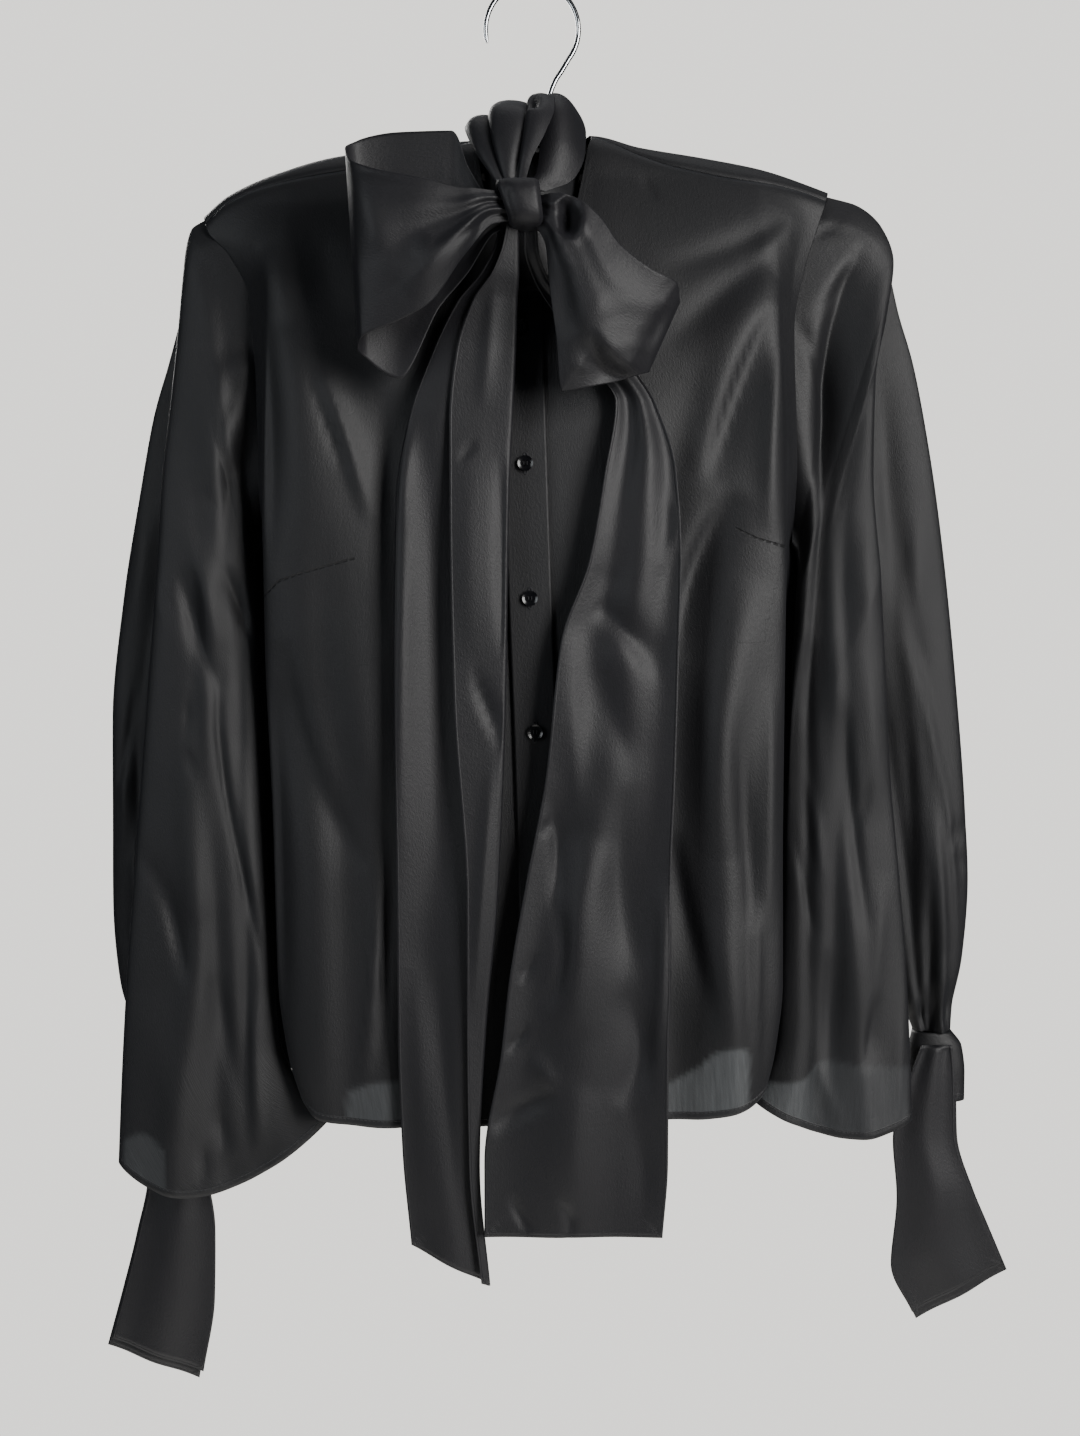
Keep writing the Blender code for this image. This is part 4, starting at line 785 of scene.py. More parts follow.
def trim(grid, edges):
    """Pull a panel's side edges in to leave the seam, more so below the underarm, where walls meet aslant."""
    grid = grid.copy()
    for edge, inner in edges:
        pull = grid[:, inner] - grid[:, edge]
        length = np.linalg.norm(pull, axis=1, keepdims=True)
        distance = np.where(-grid[:, edge, 2] > UNDERARM - 12, SIDE_SEAM, SEAM / 2)[:, None]
        grid[:, edge] += pull / length * np.minimum(distance, length * 0.8)
    return grid


# sleeves: the outer line from the shoulder point to the hem and the inner line from the underarm
OVERSLEEVE = {
    LEFT: Table(
        "ring outer outer_down inner inner_down middle half bow_front bow_back",
        (0, 180, 126, 160.5, 335, -11.5, 8.5, 0, 0),
        (1, 197, 132, 161, 342, -14, 9.5, -4, -4),
        (2, 211, 145, 161.5, 352, -17, 11, -2, -2),
        (3, 218, 166, 160.5, 366, -19, 12, 0, 0),
        (4, 214, 196, 159.5, 386, -20, 12, 0, 0),
        (5, 207, 236, 158, 412, -21, 11.5, 0, 0),
        (6, 206, 294, 157, 445, -22, 11, 0, 0),
        (7, 210, 350, 156, 482, -23, 11, 0, 0),
        (8, 214, 412, 155, 520, -23, 10, 0, 0),
        (9, 218, 476, 154, 560, -23, 10, 2, 0),
        (10, 224, 536, 153, 598, -24, 10, 4, 0),
        (11, 229, 590, 152, 630, -25, 10, 7, 0),
        (12, 232, 642, 147, 657, -26, 11, 12, -2),
        (13, 234, 688, 137, 677, -27, 12, 14, -8)),
    RIGHT: Table(
        "ring outer outer_down inner inner_down middle half bow_front bow_back",
        (0, 199, 139, 166.5, 335, -11.5, 8.5, 0, 0),
        (1, 206, 146, 167, 342, -14, 9.5, -4, -4),
        (2, 209, 158, 168, 352, -17, 11, -2, -2),
        (3, 211, 178, 167, 367, -19, 11, 0, 0),
        (4, 214, 212, 166, 388, -21, 11, 0, 0),
        (5, 218, 250, 165, 416, -22, 11, 0, 0),
        (6, 223, 296, 164, 449, -23, 11.5, 0, 0),
        (7, 227, 362, 163, 490, -24, 12, 0, 0),
        (8, 233, 429, 161, 530, -25, 12, 4, 0),
        (9, 238, 487, 159, 570, -26, 12, 8, 2),
        (10, 243, 543, 158, 605, -27, 12, 14, 6),
        (11, 248, 602, 156, 634, -28, 12, 20, 10),
        (12, 252, 660, 147, 660, -28, 13, 27, 14),
        (13, 255, 714, 125, 688, -28, 13, 31, 16))}
UNDERSLEEVE = {
    LEFT: Table(
        "ring outer outer_down inner inner_down middle half bow_front bow_back",
        (0, 179, 128, 161, 335, 9.5, 8.5, 0, 0),
        (1, 193, 134, 167, 345, 7, 11.5, -4, -4),
        (2, 206, 146, 176, 360, 5.5, 12.5, -2, -2),
        (3, 216, 166, 185, 384, 4.5, 12.5, 0, 0),
        (4, 224, 196, 190, 412, 4, 12, 0, 0),
        (5, 233, 224, 199, 440, 4.5, 11.5, 0, 0),
        (6, 244, 275, 207, 470, 5, 11, 0, 0),
        (7, 254, 335, 213, 500, 6, 11, 0, 0),
        (8, 264, 420, 219, 535, 6, 12, 0, 0),
        (9, 271, 496, 224, 570, 6, 13, 0, 0),
        (10, 274, 548, 229, 600, 6, 13, 2, 2),
        (11, 271, 592, 233, 620, 5, 13, 2, 2),
        (12, 265, 624, 238, 632, 4, 10, 0, 0),
        (13, 264, 640, 241, 640, 3, 8.5, 0, 0)),
    RIGHT: Table(
        "ring outer outer_down inner inner_down middle half bow_front bow_back",
        (0, 198, 141, 167.5, 335, 9.5, 8.5, 0, 0),
        (1, 203, 150, 174, 347, 7, 11.5, -4, -4),
        (2, 207, 165, 183, 364, 5.5, 12.5, -2, -2),
        (3, 212, 188, 191, 388, 4.5, 12.5, 0, 0),
        (4, 222, 224, 198, 416, 4, 12, 0, 0),
        (5, 232, 256, 204, 444, 4.5, 11.5, 0, 0),
        (6, 243, 310, 212, 474, 5, 11, 0, 0),
        (7, 254, 370, 218, 505, 6, 11, 0, 0),
        (8, 262, 440, 221, 540, 6, 12, 0, 0),
        (9, 263, 500, 222, 576, 6, 13, 0, 0),
        (10, 264, 560, 222, 608, 6, 13, 2, 2),
        (11, 260, 610, 221, 632, 5, 13, 2, 2),
        (12, 251, 640, 220, 646, 6, 10, 0, 0),
        (13, 248, 654, 219, 654, 6, 8.5, 0, 0))}
# folds that run down the front of a sleeve: where they lie between the outer (0) and inner (1) line
SLEEVE_FOLDS = Table(
    "number start end first last width height",
    (0, 0.62, 0.30, 3, 13, 0.10, 4.0),
    (1, 0.86, 0.74, 2, 11, 0.07, -3.5),
    (2, 0.34, 0.62, 5, 13, 0.09, -3.5))
SLEEVE_RINGS = 13
SEWN_RINGS = 3.0         # rings over which a sleeve leaves the shape of the armhole
TUCK_RINGS = 0.8         # rings over which its edge is tucked in
SEWN_FROM = 0.2          # lift at which a ring's flank starts to follow the armhole
FLATNESS = 0.8           # the roundness of a tube pressed flat: 1 is an ellipse, less is fuller
# the two sleeves of an arm lie close together at the shoulder: at what depth, and down to which ring
SLEEVES_MEET = (-3.4, -1.6)
SLEEVES_PART = 7.0


def armhole(side, part, front):
    """A place on a panel's armhole edge, from the shoulder (0) to the underarm (1)."""
    start, end = {LEFT: (133.0, UNDERARM), RIGHT: (145.0, UNDERARM)}[side]
    down = start + (end - start) * part
    across = np.ones_like(down)
    return (front_point if front else back_point)(side, across, down)


def sleeve_grid(side, rows, front_creases, back_creases, points=120, rings=150, sewn_front=True):
    """A sleeve as rings that turn from the armhole to the hem, pressed flat between two lines.

    "lift" is how far a point of a ring stands out to the front (1) or the back (-1) from those lines.
    """
    rings = SLEEVE_RINGS * spread(rings, 0.3)
    turn = np.arange(points) / points * 2 * math.pi
    table = rows[side].all(rings)
    outer, outer_down, inner, inner_down, middle, half, bow_front, bow_back = table.T[:, :, None]
    part = (1 - np.cos(turn)) / 2
    lift = np.sin(turn)
    front = lift > 0
    bow = np.where(front, bow_front, bow_back) * lift ** 2
    length = np.hypot(outer - inner, outer_down - inner_down)
    away_x, away_down = -(inner_down - outer_down) / length, (inner - outer) / length * -1
    x = outer + (inner - outer) * part + bow * away_x
    down = outer_down + (inner_down - outer_down) * part + bow * np.abs(away_down)
    close = np.clip(1 - rings[:, None] / SLEEVES_PART, 0, 1) ** 0.7 * (1 - part) ** 1.5
    flatten = 1 - close * (lift < 0 if sewn_front else lift > 0)
    meet = SLEEVES_MEET[0 if sewn_front else 1]
    y = middle + (meet - middle) * close - half * flatten * np.sign(lift) * np.abs(lift) ** FLATNESS
    for row in SLEEVE_FOLDS.rows:
        _, start, end, first, last, width, height = row
        along = np.clip((rings[:, None] - first) / (last - first), 0, 1)
        line = start + (end - start) * along
        fade = np.sin(np.clip(along, 0.0, 0.8) * math.pi / 1.6)
        y -= np.where(front, height, 0) * fade * np.exp(-((part - line) / width) ** 2) * lift ** 2
    y -= np.where(front, crease_relief(front_creases, x, down), 0) * np.abs(lift) ** FLATNESS
    y += np.where(front, 0, crease_relief(back_creases, x, down)) * np.abs(lift) ** FLATNESS
    grid = np.stack((side * x, y, -down), -1)
    sewn = (lift > SEWN_FROM) if sewn_front else (lift < -SEWN_FROM)
    target = armhole(side, part, sewn_front)
    target[:, 0] += side * ARMHOLE_SEAM
    first = grid[0].copy()
    held = np.clip((np.abs(lift) - SEWN_FROM) / 0.25, 0, 1)
    weight = np.clip(1 - rings / SEWN_RINGS, 0, 1)[:, None] * held * sewn
    grid = grid + weight[..., None] * (target - first)
    grid[..., 0] -= side * ARMHOLE_TUCK * np.clip(1 - rings / TUCK_RINGS, 0, 1)[:, None]
    return grid


CUFF = {
    LEFT: Table("down inner outer middle half", (640, 241, 264, 3, 8.5), (650, 239, 271, 2, 9),
                (668, 238, 273, 1, 9), (684, 238, 273, 1, 9)),
    RIGHT: Table("down inner outer middle half", (654, 219, 248, 6, 8.5), (664, 214, 250, 6, 9),
                 (682, 212, 250, 5, 9), (698, 212, 250, 5, 9))}
CUFF_TIES = {
    LEFT: Table(
        "row inner inner_down outer outer_down y belly",
        (0, 243, 647, 262, 647, -11.4, 0.5), (1, 233, 676, 264, 668, -12, 1),
        (2, 226, 706, 265, 702, -12, 2), (3, 229, 745, 275, 735, -12, 4),
        (4, 226, 786, 284, 756, -12, 3), (5, 240, 818, 297, 786, -12, 1)),
    RIGHT: Table(
        "row inner inner_down outer outer_down y belly",
        (0, 220, 661, 240, 661, -7.6, 0.5), (1, 212, 690, 241, 690, -8.5, 1),
        (2, 206, 725, 241, 728, -9, 2), (3, 200, 765, 248, 765, -10, 4),
        (4, 201, 810, 257, 800, -10, 3), (5, 209, 858, 267, 836, -10, 1))}
# the other end of the tie lies behind, a little aside and longer: first at its top, then at its end
SECOND_TIE_ASIDE = (1.0, 3.5)
SECOND_TIE_BEHIND = (1.9, 4.0)
SECOND_TIE_LONGER = 6.0


def cuff_grid(side, points=72, rows=26):
    """A cuff: a flattened ring below the gathers of the under-sleeve."""
    table = CUFF[side]
    down = np.linspace(table.rows[0, 0] + CUFF_SEAM, table.rows[-1, 0], rows)[:, None]
    turn = np.arange(points) / points * 2 * math.pi
    inner, outer, middle, half = [table(name, down) for name in table.names[1:]]
    x = (inner + outer) / 2 + (outer - inner) / 2 * np.cos(turn)
    y = middle - half * np.sign(np.sin(turn)) * np.abs(np.sin(turn)) ** FLATNESS
    return np.stack((side * x, y, -down + 0 * turn), -1)


def second_tie(tie, side):
    """The tie end behind the first one, which it follows."""
    part = np.linspace(0, 1, len(tie))[:, None, None]
    start = np.array((side * SECOND_TIE_ASIDE[0], SECOND_TIE_BEHIND[0], 0.0))
    end = np.array((side * SECOND_TIE_ASIDE[1], SECOND_TIE_BEHIND[1], -SECOND_TIE_LONGER))
    return tie + start + (end - start) * part


def strip_grid(table, side, rows, columns, curl=0.0):
    """A strip of cloth through rows that each run from an inner to an outer point."""
    at = np.linspace(0, table.rows[-1, 0], rows)[:, None]
    part = np.linspace(0, 1, columns)
    inner, inner_down, outer, outer_down, y, belly = [table(name, at) for name in table.names[1:]]
    x = inner + (outer - inner) * part
    down = inner_down + (outer_down - inner_down) * part
    depth = y - belly * np.sin(part * math.pi) + curl * np.sin(part * 3 * math.pi) * (at > 0)
    return np.stack((side * x, depth, -down), -1)


# the bow: each row runs across the ribbon, from its upper to its lower edge
LOOP_RIGHT = Table(
    "row upper_x upper_down upper_y lower_x lower_down lower_y belly pleat",
    (0, -10, 146, -84, -9, 160, -84, 0, 1.2), (1, -22, 146, -83, -21, 165.4, -84, 2, 1.4),
    (2, -35, 128, -78, -36, 186, -78, 3, 1.0), (3, -45, 107, -76, -52, 204, -74, 3, 0.5),
    (4, -76, 108, -76, -75, 244, -74, 4, 0.5), (5, -97, 113, -78, -93, 233, -78, 3, 0.2),
    (6, -103, 119, -86, -97, 229, -86, 0, 0), (7, -99, 128, -96, -94, 224, -95, -2, 0.2),
    (8, -88, 134, -103, -76, 217, -100, -5, 0.2), (9, -60, 140, -106, -56, 207, -103, -6, 0.5),
    (10, -36, 145, -104, -36, 180, -102, -4, 1.2), (11, -22, 145, -98, -21, 163, -96, -2, 1.5),
    (12, -10, 146, -93, -9, 160, -93, 0, 1.2))
LOOP_LEFT = Table(
    "row upper_x upper_down upper_y lower_x lower_down lower_y belly pleat",
    (0, 2, 146, -83, 2, 160, -83, 0, 1.2), (1, 9, 148, -82, 9, 163.6, -82, 1, 1.4),
    (2, 26, 152, -79, 14, 190, -78, 1, 1.2), (3, 38, 166, -77, 16, 216, -76, 1, 0.8),
    (4, 57, 182, -76, 17, 248, -75, 2, 0.6), (5, 74, 192, -76, 42, 244, -75, 2, 0.2),
    (6, 83, 203, -82, 66, 241, -81, 0, 0), (7, 81, 194, -90, 50, 246, -88, -3, 0.2),
    (8, 67, 188, -97, 17, 253, -90, -7, 0.3), (9, 48, 174, -100, 13.5, 222, -95, -8, 0.5),
    (9.6, 38, 160, -100, 11, 204, -96, -7, 0.6), (10.2, 24, 149, -100, 9.5, 189, -96, -5, 0.8),
    (11, 13, 146.5, -98, 8, 174, -95, -3, 0.8), (12, 2, 147, -92, 2, 162, -92, 0, 0.6))
LOOP_PLEATS = 2.5


def loop_grid(table, creases, rows=150, columns=64):
    """A loop of ribbon from the knot, out behind, round its end and back in front, pleated at the knot."""
    at = np.linspace(0, table.rows[-1, 0], rows)[:, None]
    part = np.linspace(0, 1, columns)
    ux, ud, uy, lx, ld, ly, belly, pleat = [table(name, at) for name in table.names[1:]]
    phase = part * 2 * math.pi * LOOP_PLEATS + at * 0.15
    wave = pleat * (np.sin(phase) + 0.35 * np.sin(2 * phase + 0.7))
    x = ux + (lx - ux) * part
    down = ud + (ld - ud) * part
    y = uy + (ly - uy) * part + belly * np.sin(part * math.pi) + wave * np.sin(part * math.pi)
    front = np.clip(at - 6.0, 0, 1) * np.clip((12.0 - at) / 0.6, 0, 1)
    y -= front * crease_relief(creases, x, down)
    return np.stack((x, y, -down), -1)


TAIL_RIGHT = Table(
    "down outer fold free y",
    (158, -17, -7, -13, -88), (172, -21, -7, -16, -85), (186, -29, -7, -22, -82),
    (200, -42, -8, -33, -76), (228, -57, -9, -43, -70), (267, -71, -11, -47, -69),
    (312, -78, -13, -47, -69), (426, -80, -15, -45, -69), (543, -79, -20, -38, -69),
    (620, -79, -27, -38, -68), (700, -77, -31, -37, -68), (765, -72, -25, -30, -68))
TAIL_RIGHT_CUT = 24.0    # the end is cut aslant
TAIL_RIGHT_STRAIGHT = 640    # down to this depth the ribbon's rows run level
TAIL_RIGHT_BEND = 2.2    # radius of the fold
TAIL_RIGHT_SWAY = 2.0    # how far the ribbon waves to the front and back
TAIL_LEFT = Table(
    "down inner outer y ripple",
    (158, -4, 3, -87, 0), (173, -4, 4, -82, 0.2), (188, 1, 10, -73, 0.4),
    (205, 12, 34, -66, 1.0), (232, 30, 55, -64, 1.4), (256, 48, 71, -65, 1.8),
    (295, 42, 83, -69, 2.6), (346, 33, 86, -72, 2.6), (392, 17, 85, -73, 2.2),
    (472, 8, 83, -74, 2.2), (531, -3, 81, -74, 2.5), (589, -13, 81, -75, 2.5),
    (634, -18, 80, -75, 2.2), (699, -28, 80, -75, 1.6), (744, -28, 77, -75, 0.8))


def along_rows(table, rows):
    """Depths spread as the table's own rows are."""
    depths = table.rows[:, 0]
    return np.interp(np.linspace(0, len(depths) - 1, rows), np.arange(len(depths)), depths)[:, None]


def tail_right_grid(rows=190, main=30, flap=20, turn=9):
    """The right tail: its inner part is folded over to the front, down a leaning line."""
    table = TAIL_RIGHT
    down = along_rows(table, rows)
    outer, fold, free, y = [table(name, down) for name in table.names[1:]]
    radius = TAIL_RIGHT_BEND
    flat = np.linspace(0, 1, main)
    ones = np.ones_like(flat)
    main_x = outer + (fold - radius - outer) * flat
    main_y = y + radius + TAIL_RIGHT_SWAY * np.sin(flat * 2 * math.pi + down * 0.01)
    sway = TAIL_RIGHT_SWAY * np.sin(2 * math.pi + down * 0.01)
    bend = np.linspace(0, math.pi, turn + 2)[1:-1]
    bend_x = fold - radius + radius * np.sin(bend)
    bend_y = y + radius * np.cos(bend) + sway
    back = np.linspace(0, 1, flap)
    flap_x = fold - radius + (free - fold + radius) * back
    flap_y = y - radius + sway - 1.5 * back
    x = np.concatenate((main_x, bend_x, flap_x), 1)
    depth = np.concatenate((main_y * ones, bend_y, flap_y), 1)
    end = np.clip((down - TAIL_RIGHT_STRAIGHT) / (table.rows[-1, 0] - TAIL_RIGHT_STRAIGHT), 0, 1)
    over = np.arange(x.shape[1]) >= main + turn
    down_all = down + 0 * x
    on_flap = crease_relief(TAIL_FLAP_CREASES, x, down_all)
    depth -= np.where(over, on_flap, crease_relief(TAIL_RIGHT_CREASES, x, down_all))
    slant = TAIL_RIGHT_CUT * end * (x - outer) / (fold - outer)
    return np.stack((x, depth, -(down + slant - TAIL_RIGHT_CUT * 0.5 * end)), -1)


def tail_left_grid(rows=200, columns=72):
    """The left tail: one layer, rippled across, that widens below the knot."""
    table = TAIL_LEFT
    down = along_rows(table, rows)
    inner, outer, y, ripple = [table(name, down) for name in table.names[1:]]
    part = np.linspace(0, 1, columns)
    x = inner + (outer - inner) * part
    depth = y - ripple * np.sin(part * 2 * math.pi * 1.6 + 0.6 + down * 0.004)
    depth -= crease_relief(TAIL_LEFT_CREASES, x, down + 0 * x)
    return np.stack((x, depth, -down + 0 * part), -1)


def knot_grid(rows=40, points=100):
    """The knot: a folded band round the gathered middle of the bow, wider above than below."""
    table = Table("x top bottom front back",
                  (-21, 140, 161, -101, -76), (-18, 138.5, 163, -103.5, -74), (-6, 138, 164, -105, -72),
                  (6, 138, 163, -104.5, -73), (10, 139, 161, -102, -76))
    x = np.linspace(-21, 10, rows)[:, None]
    top, bottom, front, back = [table(name, x) for name in table.names[1:]]
    turn = np.arange(points) / points * 2 * math.pi
    rise, lean = np.cos(turn), np.sin(turn)
    down = (top + bottom) / 2 - (bottom - top) / 2 * np.sign(rise) * np.abs(rise) ** 0.75
    y = (front + back) / 2 - (back - front) / 2 * np.sign(lean) * np.abs(lean) ** 0.6
    low = np.clip((down - 139) / 25, 0, 1)
    middle, half = -8.0 + 6.0 * low, 11.8 - 3.0 * low
    x = middle + (x + 5.5) / 15.5 * half
    y = y - np.where(lean > 0, crease_relief(KNOT_CREASES, x, down), 0)
    return np.stack((x, y, -down), -1)


# the tie collar's two ends, gathered from the knot up and back round the hook's stem
WRAP_RIGHT = Table(
    "row first_x first_down first_y last_x last_down last_y belly pleat",
    (0, -17, 141, -85, -4, 141, -88, 0, 0.4), (1, -24, 131, -82, 0, 127, -90, 1, 1.8),
    (2, -33, 116, -74, 8, 110, -85, 3, 3.4), (3, -38, 101, -60, 13, 94, -74, 5, 4.2),
    (4, -37, 95, -42, 13, 83, -57, 5, 4.0), (5, -31, 91, -22, 8, 78, -34, 3, 2.6),
    (6, -26, 87, -6, 3, 78, -13, 0, 1.0), (7, -20, 87.5, 5, 0, 80, 3, 0, 0.4))
WRAP_LEFT = Table(
    "row first_x first_down first_y last_x last_down last_y belly pleat",
    (0, -3, 141, -84, 7, 142, -82, 0, 0.2), (1, 3, 130, -80, 23, 134, -75, 3, 0.5),
    (2, 5, 113, -75, 30, 118, -66, 6, 0.7), (3, 7, 93, -66, 31, 102, -54, 7, 0.6),
    (4, 10, 79, -48, 28, 88, -38, 5, 0.4), (5, 12, 77.5, -26, 27, 84, -20, 2, 0.4),
    (6, 14, 78, -8, 25, 87, -4, 0, 0.3), (7, 14, 80, 4, 22, 88, 3, 0, 0.2))
# the standing band, sewn to the neckline and pulled in round the hook's stem
BAND_MIDDLE = (2.0, -20.0)
BAND_HALF = (11.0, 27.0)
BAND_TOP, BAND_TOP_FRONT = 89.0, 26.0
BAND_SIDE = 89.4
BAND_INSIDE = 2.4
BAND_BACK = 3.0
WRAP_DRIFT = 0.22        # the pleats are not of one width


def band_grid(rows=26, points=120):
    """The neckband: from the neckline all round to a small opening about the stem."""
    turn = np.arange(points) / points * 2 * math.pi
    x = (NECK_SIDE - 1.2) * np.cos(turn)
    front = np.sin(turn) > 0
    near_side = np.abs(np.cos(turn)) ** 8
    down = np.where(front, NECKLINE("down", np.abs(x)) - SEAM * 2, RIDGE("down", x) - 1.2)
    down = down + (BAND_SIDE - down) * near_side
    depth = over_bar(BODY[LEFT]("front", down), np.maximum(down - RIDGE_TOP, 0)) + BAND_INSIDE
    depth = np.where(front, depth, BAND_BACK) * (1 - near_side)
    low = np.stack((x, depth, -down), -1)
    high_x = BAND_MIDDLE[0] + BAND_HALF[0] * np.cos(turn)
    high_y = BAND_MIDDLE[1] - BAND_HALF[1] * np.sin(turn)
    high_down = BAND_TOP + BAND_TOP_FRONT * np.clip(np.sin(turn), 0, 1) ** 2
    high = np.stack((high_x, high_y, -high_down), -1)
    part = np.linspace(0, 1, rows)[:, None, None]
    return low + (high - low) * part


def wrap_grid(table, pleats, rows=90, columns=76):
    """A gathered stretch of the tie: pleats that lie over each other like shingles."""
    at = np.linspace(0, table.rows[-1, 0], rows)[:, None]
    part = np.linspace(0, 1, columns)
    fx, fd, fy, lx, ld, ly, belly, pleat = [table(name, at) for name in table.names[1:]]
    fold = (part * pleats + WRAP_DRIFT * np.sin(part * 5.0)) % 1.0
    shingle = np.sin(math.pi * np.clip(fold, 0, 1) ** 0.62) ** 0.7
    ends = np.sin(np.clip(part, 0, 1) * math.pi) ** 0.35
    x = fx + (lx - fx) * part
    down = fd + (ld - fd) * part - belly * np.sin(part * math.pi) * 0.6
    y = fy + (ly - fy) * part - belly * np.sin(part * math.pi)
    grid = np.stack((x, y, -down), -1)
    height = pleat * (1.5 * shingle - 0.7) * ends + np.where(y < -30, crease_relief(WRAP_CREASES, x, down), 0)
    return stand_out(grid, height)


def stand_out(grid, height):
    """Moves each place of a grid outwards along its own normal, which faces the front or upwards."""
    along, across = np.gradient(grid, axis=0), np.gradient(grid, axis=1)
    normal = np.cross(along, across)
    normal /= np.linalg.norm(normal, axis=-1, keepdims=True) + 1e-9
    facing = normal[..., 2] * 0.6 - normal[..., 1]
    return grid + normal * (np.sign(facing) * height)[..., None]


def placket_grid(rows=180, columns=22):
    """The button band, on the wearer's right front and over the left one."""
    down = np.linspace(*PLACKET_ENDS, rows)[:, None]
    x = CENTRE("x", down) + np.linspace(-PLACKET_HALF, PLACKET_HALF, columns)
    flat = BODY[LEFT]("front", down) + 0 * x
    y = over_bar(flat, down - RIDGE_TOP) - PLACKET_STANDS
    return np.stack((x, y, -down + 0 * x), -1)


def placket_point(x, down):
    """A place on the button band's front face, and how far it leans back to each mm down."""
    def face(at):
        flat = float(BODY[LEFT]("front", at))
        return float(over_bar(np.array(flat), np.array(at - RIDGE_TOP))) - PLACKET_STANDS - FOLDED_WALL / 2
    lean = (face(down + 5.0) - face(down - 5.0)) / 10.0
    return (x, face(down), -down), lean


def make_panels(satin):
    """The two fronts, the back, the button band and the neckband."""
    for side, name in SIDES:
        panel = trim(front_grid(side), ((-1, -2),))
        if side == RIGHT:
            panel = panel[:, ::-1]
        front = cloth(f"front_panel_{name}", panel, satin, hems=("bottom",), dart=DARTS[side],
                      shine_through=PAINTED_BACKLIGHT_HEMS[f"front_{name}"])
        dress(front, [f"front_{name}"])
    behind = trim(back_grid(), ((0, 1), (-1, -2)))
    back = cloth("back_panel", behind, satin, hems=("bottom",), shine_through=PAINTED_BACKLIGHT_HEMS["back"])
    dress(back, ["back"])
    band = cloth("button_band", placket_grid(), satin, FOLDED_WALL, hems=())
    dress(band, ["placket"])
    collar = cloth("neck_band", band_grid(), satin, ring=True)
    dress(collar, ["neckband"])


def make_sleeves(satin, ribbon):
    """On each side an over-sleeve, an under-sleeve, its cuff and the cuff's two tie ends."""
    for side, name in SIDES:
        over = sleeve_grid(side, OVERSLEEVE, OVERSLEEVE_CREASES[side], OVERSLEEVE_BACK_CREASES)
        under = sleeve_grid(side, UNDERSLEEVE, UNDERSLEEVE_CREASES[side], UNDERSLEEVE_BACK_CREASES, points=90,
                            rings=130, sewn_front=False)
        if side == RIGHT:
            over, under = over[:, ::-1], under[:, ::-1]
        outer = cloth(f"over_sleeve_{name}", over, satin, ring=True, hems=("bottom",),
                      shine_through=PAINTED_BACKLIGHT_HEMS[f"sleeve_{name}"])
        dress(outer, [f"oversleeve_{name}"])
        inner = cloth(f"under_sleeve_{name}", under, satin, ring=True)
        dress(inner, [f"undersleeve_{name}"])
        cuff = cloth(f"sleeve_cuff_{name}", cuff_grid(side), satin, FOLDED_WALL, ring=True, hems=("bottom",))
        dress(cuff, [f"cuff_{name}"])
        tie = strip_grid(CUFF_TIES[side], side, 60, 26, 1.0)
        for grid, place in ((tie, "front"), (second_tie(tie, side), "back")):
            end = cloth(f"cuff_tie_end_{name}_{place}", grid, ribbon, hems=("left", "right", "bottom"))
            dress(end, [f"cuff_tie_{name}_{place}"])


def make_bow(ribbon):
    """The bow's loops, tails and knot, and the gathered ends of the tie that run back from it."""
    cut_edges = ("left", "right", "bottom")
    pieces = (
        ("bow_loop_wearers_right", loop_grid(LOOP_RIGHT, LOOP_RIGHT_CREASES),
         "bow_loop_right", "loop right", False, ()),
        ("bow_loop_wearers_left", loop_grid(LOOP_LEFT, LOOP_LEFT_CREASES),
         "bow_loop_left", "loop left", False, ()),
        ("bow_tail_wearers_right", tail_right_grid(), "bow_tail_right", "tail right", False, cut_edges),
        ("bow_tail_wearers_left", tail_left_grid(), "bow_tail_left", "tail left", False, cut_edges),
        ("knot_of_the_bow", knot_grid(), "bow_knot", "knot", True, ()),
        ("tie_gathered_right", wrap_grid(WRAP_RIGHT, 3.0, rows=100, columns=120),
         "tie_wrap_right", "wrap right", False, ()),
        ("tie_gathered_left", wrap_grid(WRAP_LEFT, 1.0), "tie_wrap_left", "wrap left", False, ()))
    for name, grid, node, pattern, ring, hems in pieces:
        wall = FOLDED_WALL if node == "bow_knot" else SATIN_WALL
        piece = cloth(name, grid, ribbon, wall, ring=ring, hems=hems)
        dress(piece, [node])


def select_only(piece):
    """Leaves this piece alone selected, and active."""
    bpy.ops.object.select_all(action="DESELECT")
    piece.select_set(True)
    bpy.context.view_layer.objects.active = piece


def apply_all(piece):
    """Applies a piece's modifiers and its place, so that the object sits at the origin."""
    select_only(piece)
    for modifier in list(piece.modifiers):
        bpy.ops.object.modifier_apply(modifier=modifier.name)
    bpy.ops.object.transform_apply(location=True, rotation=True, scale=True)


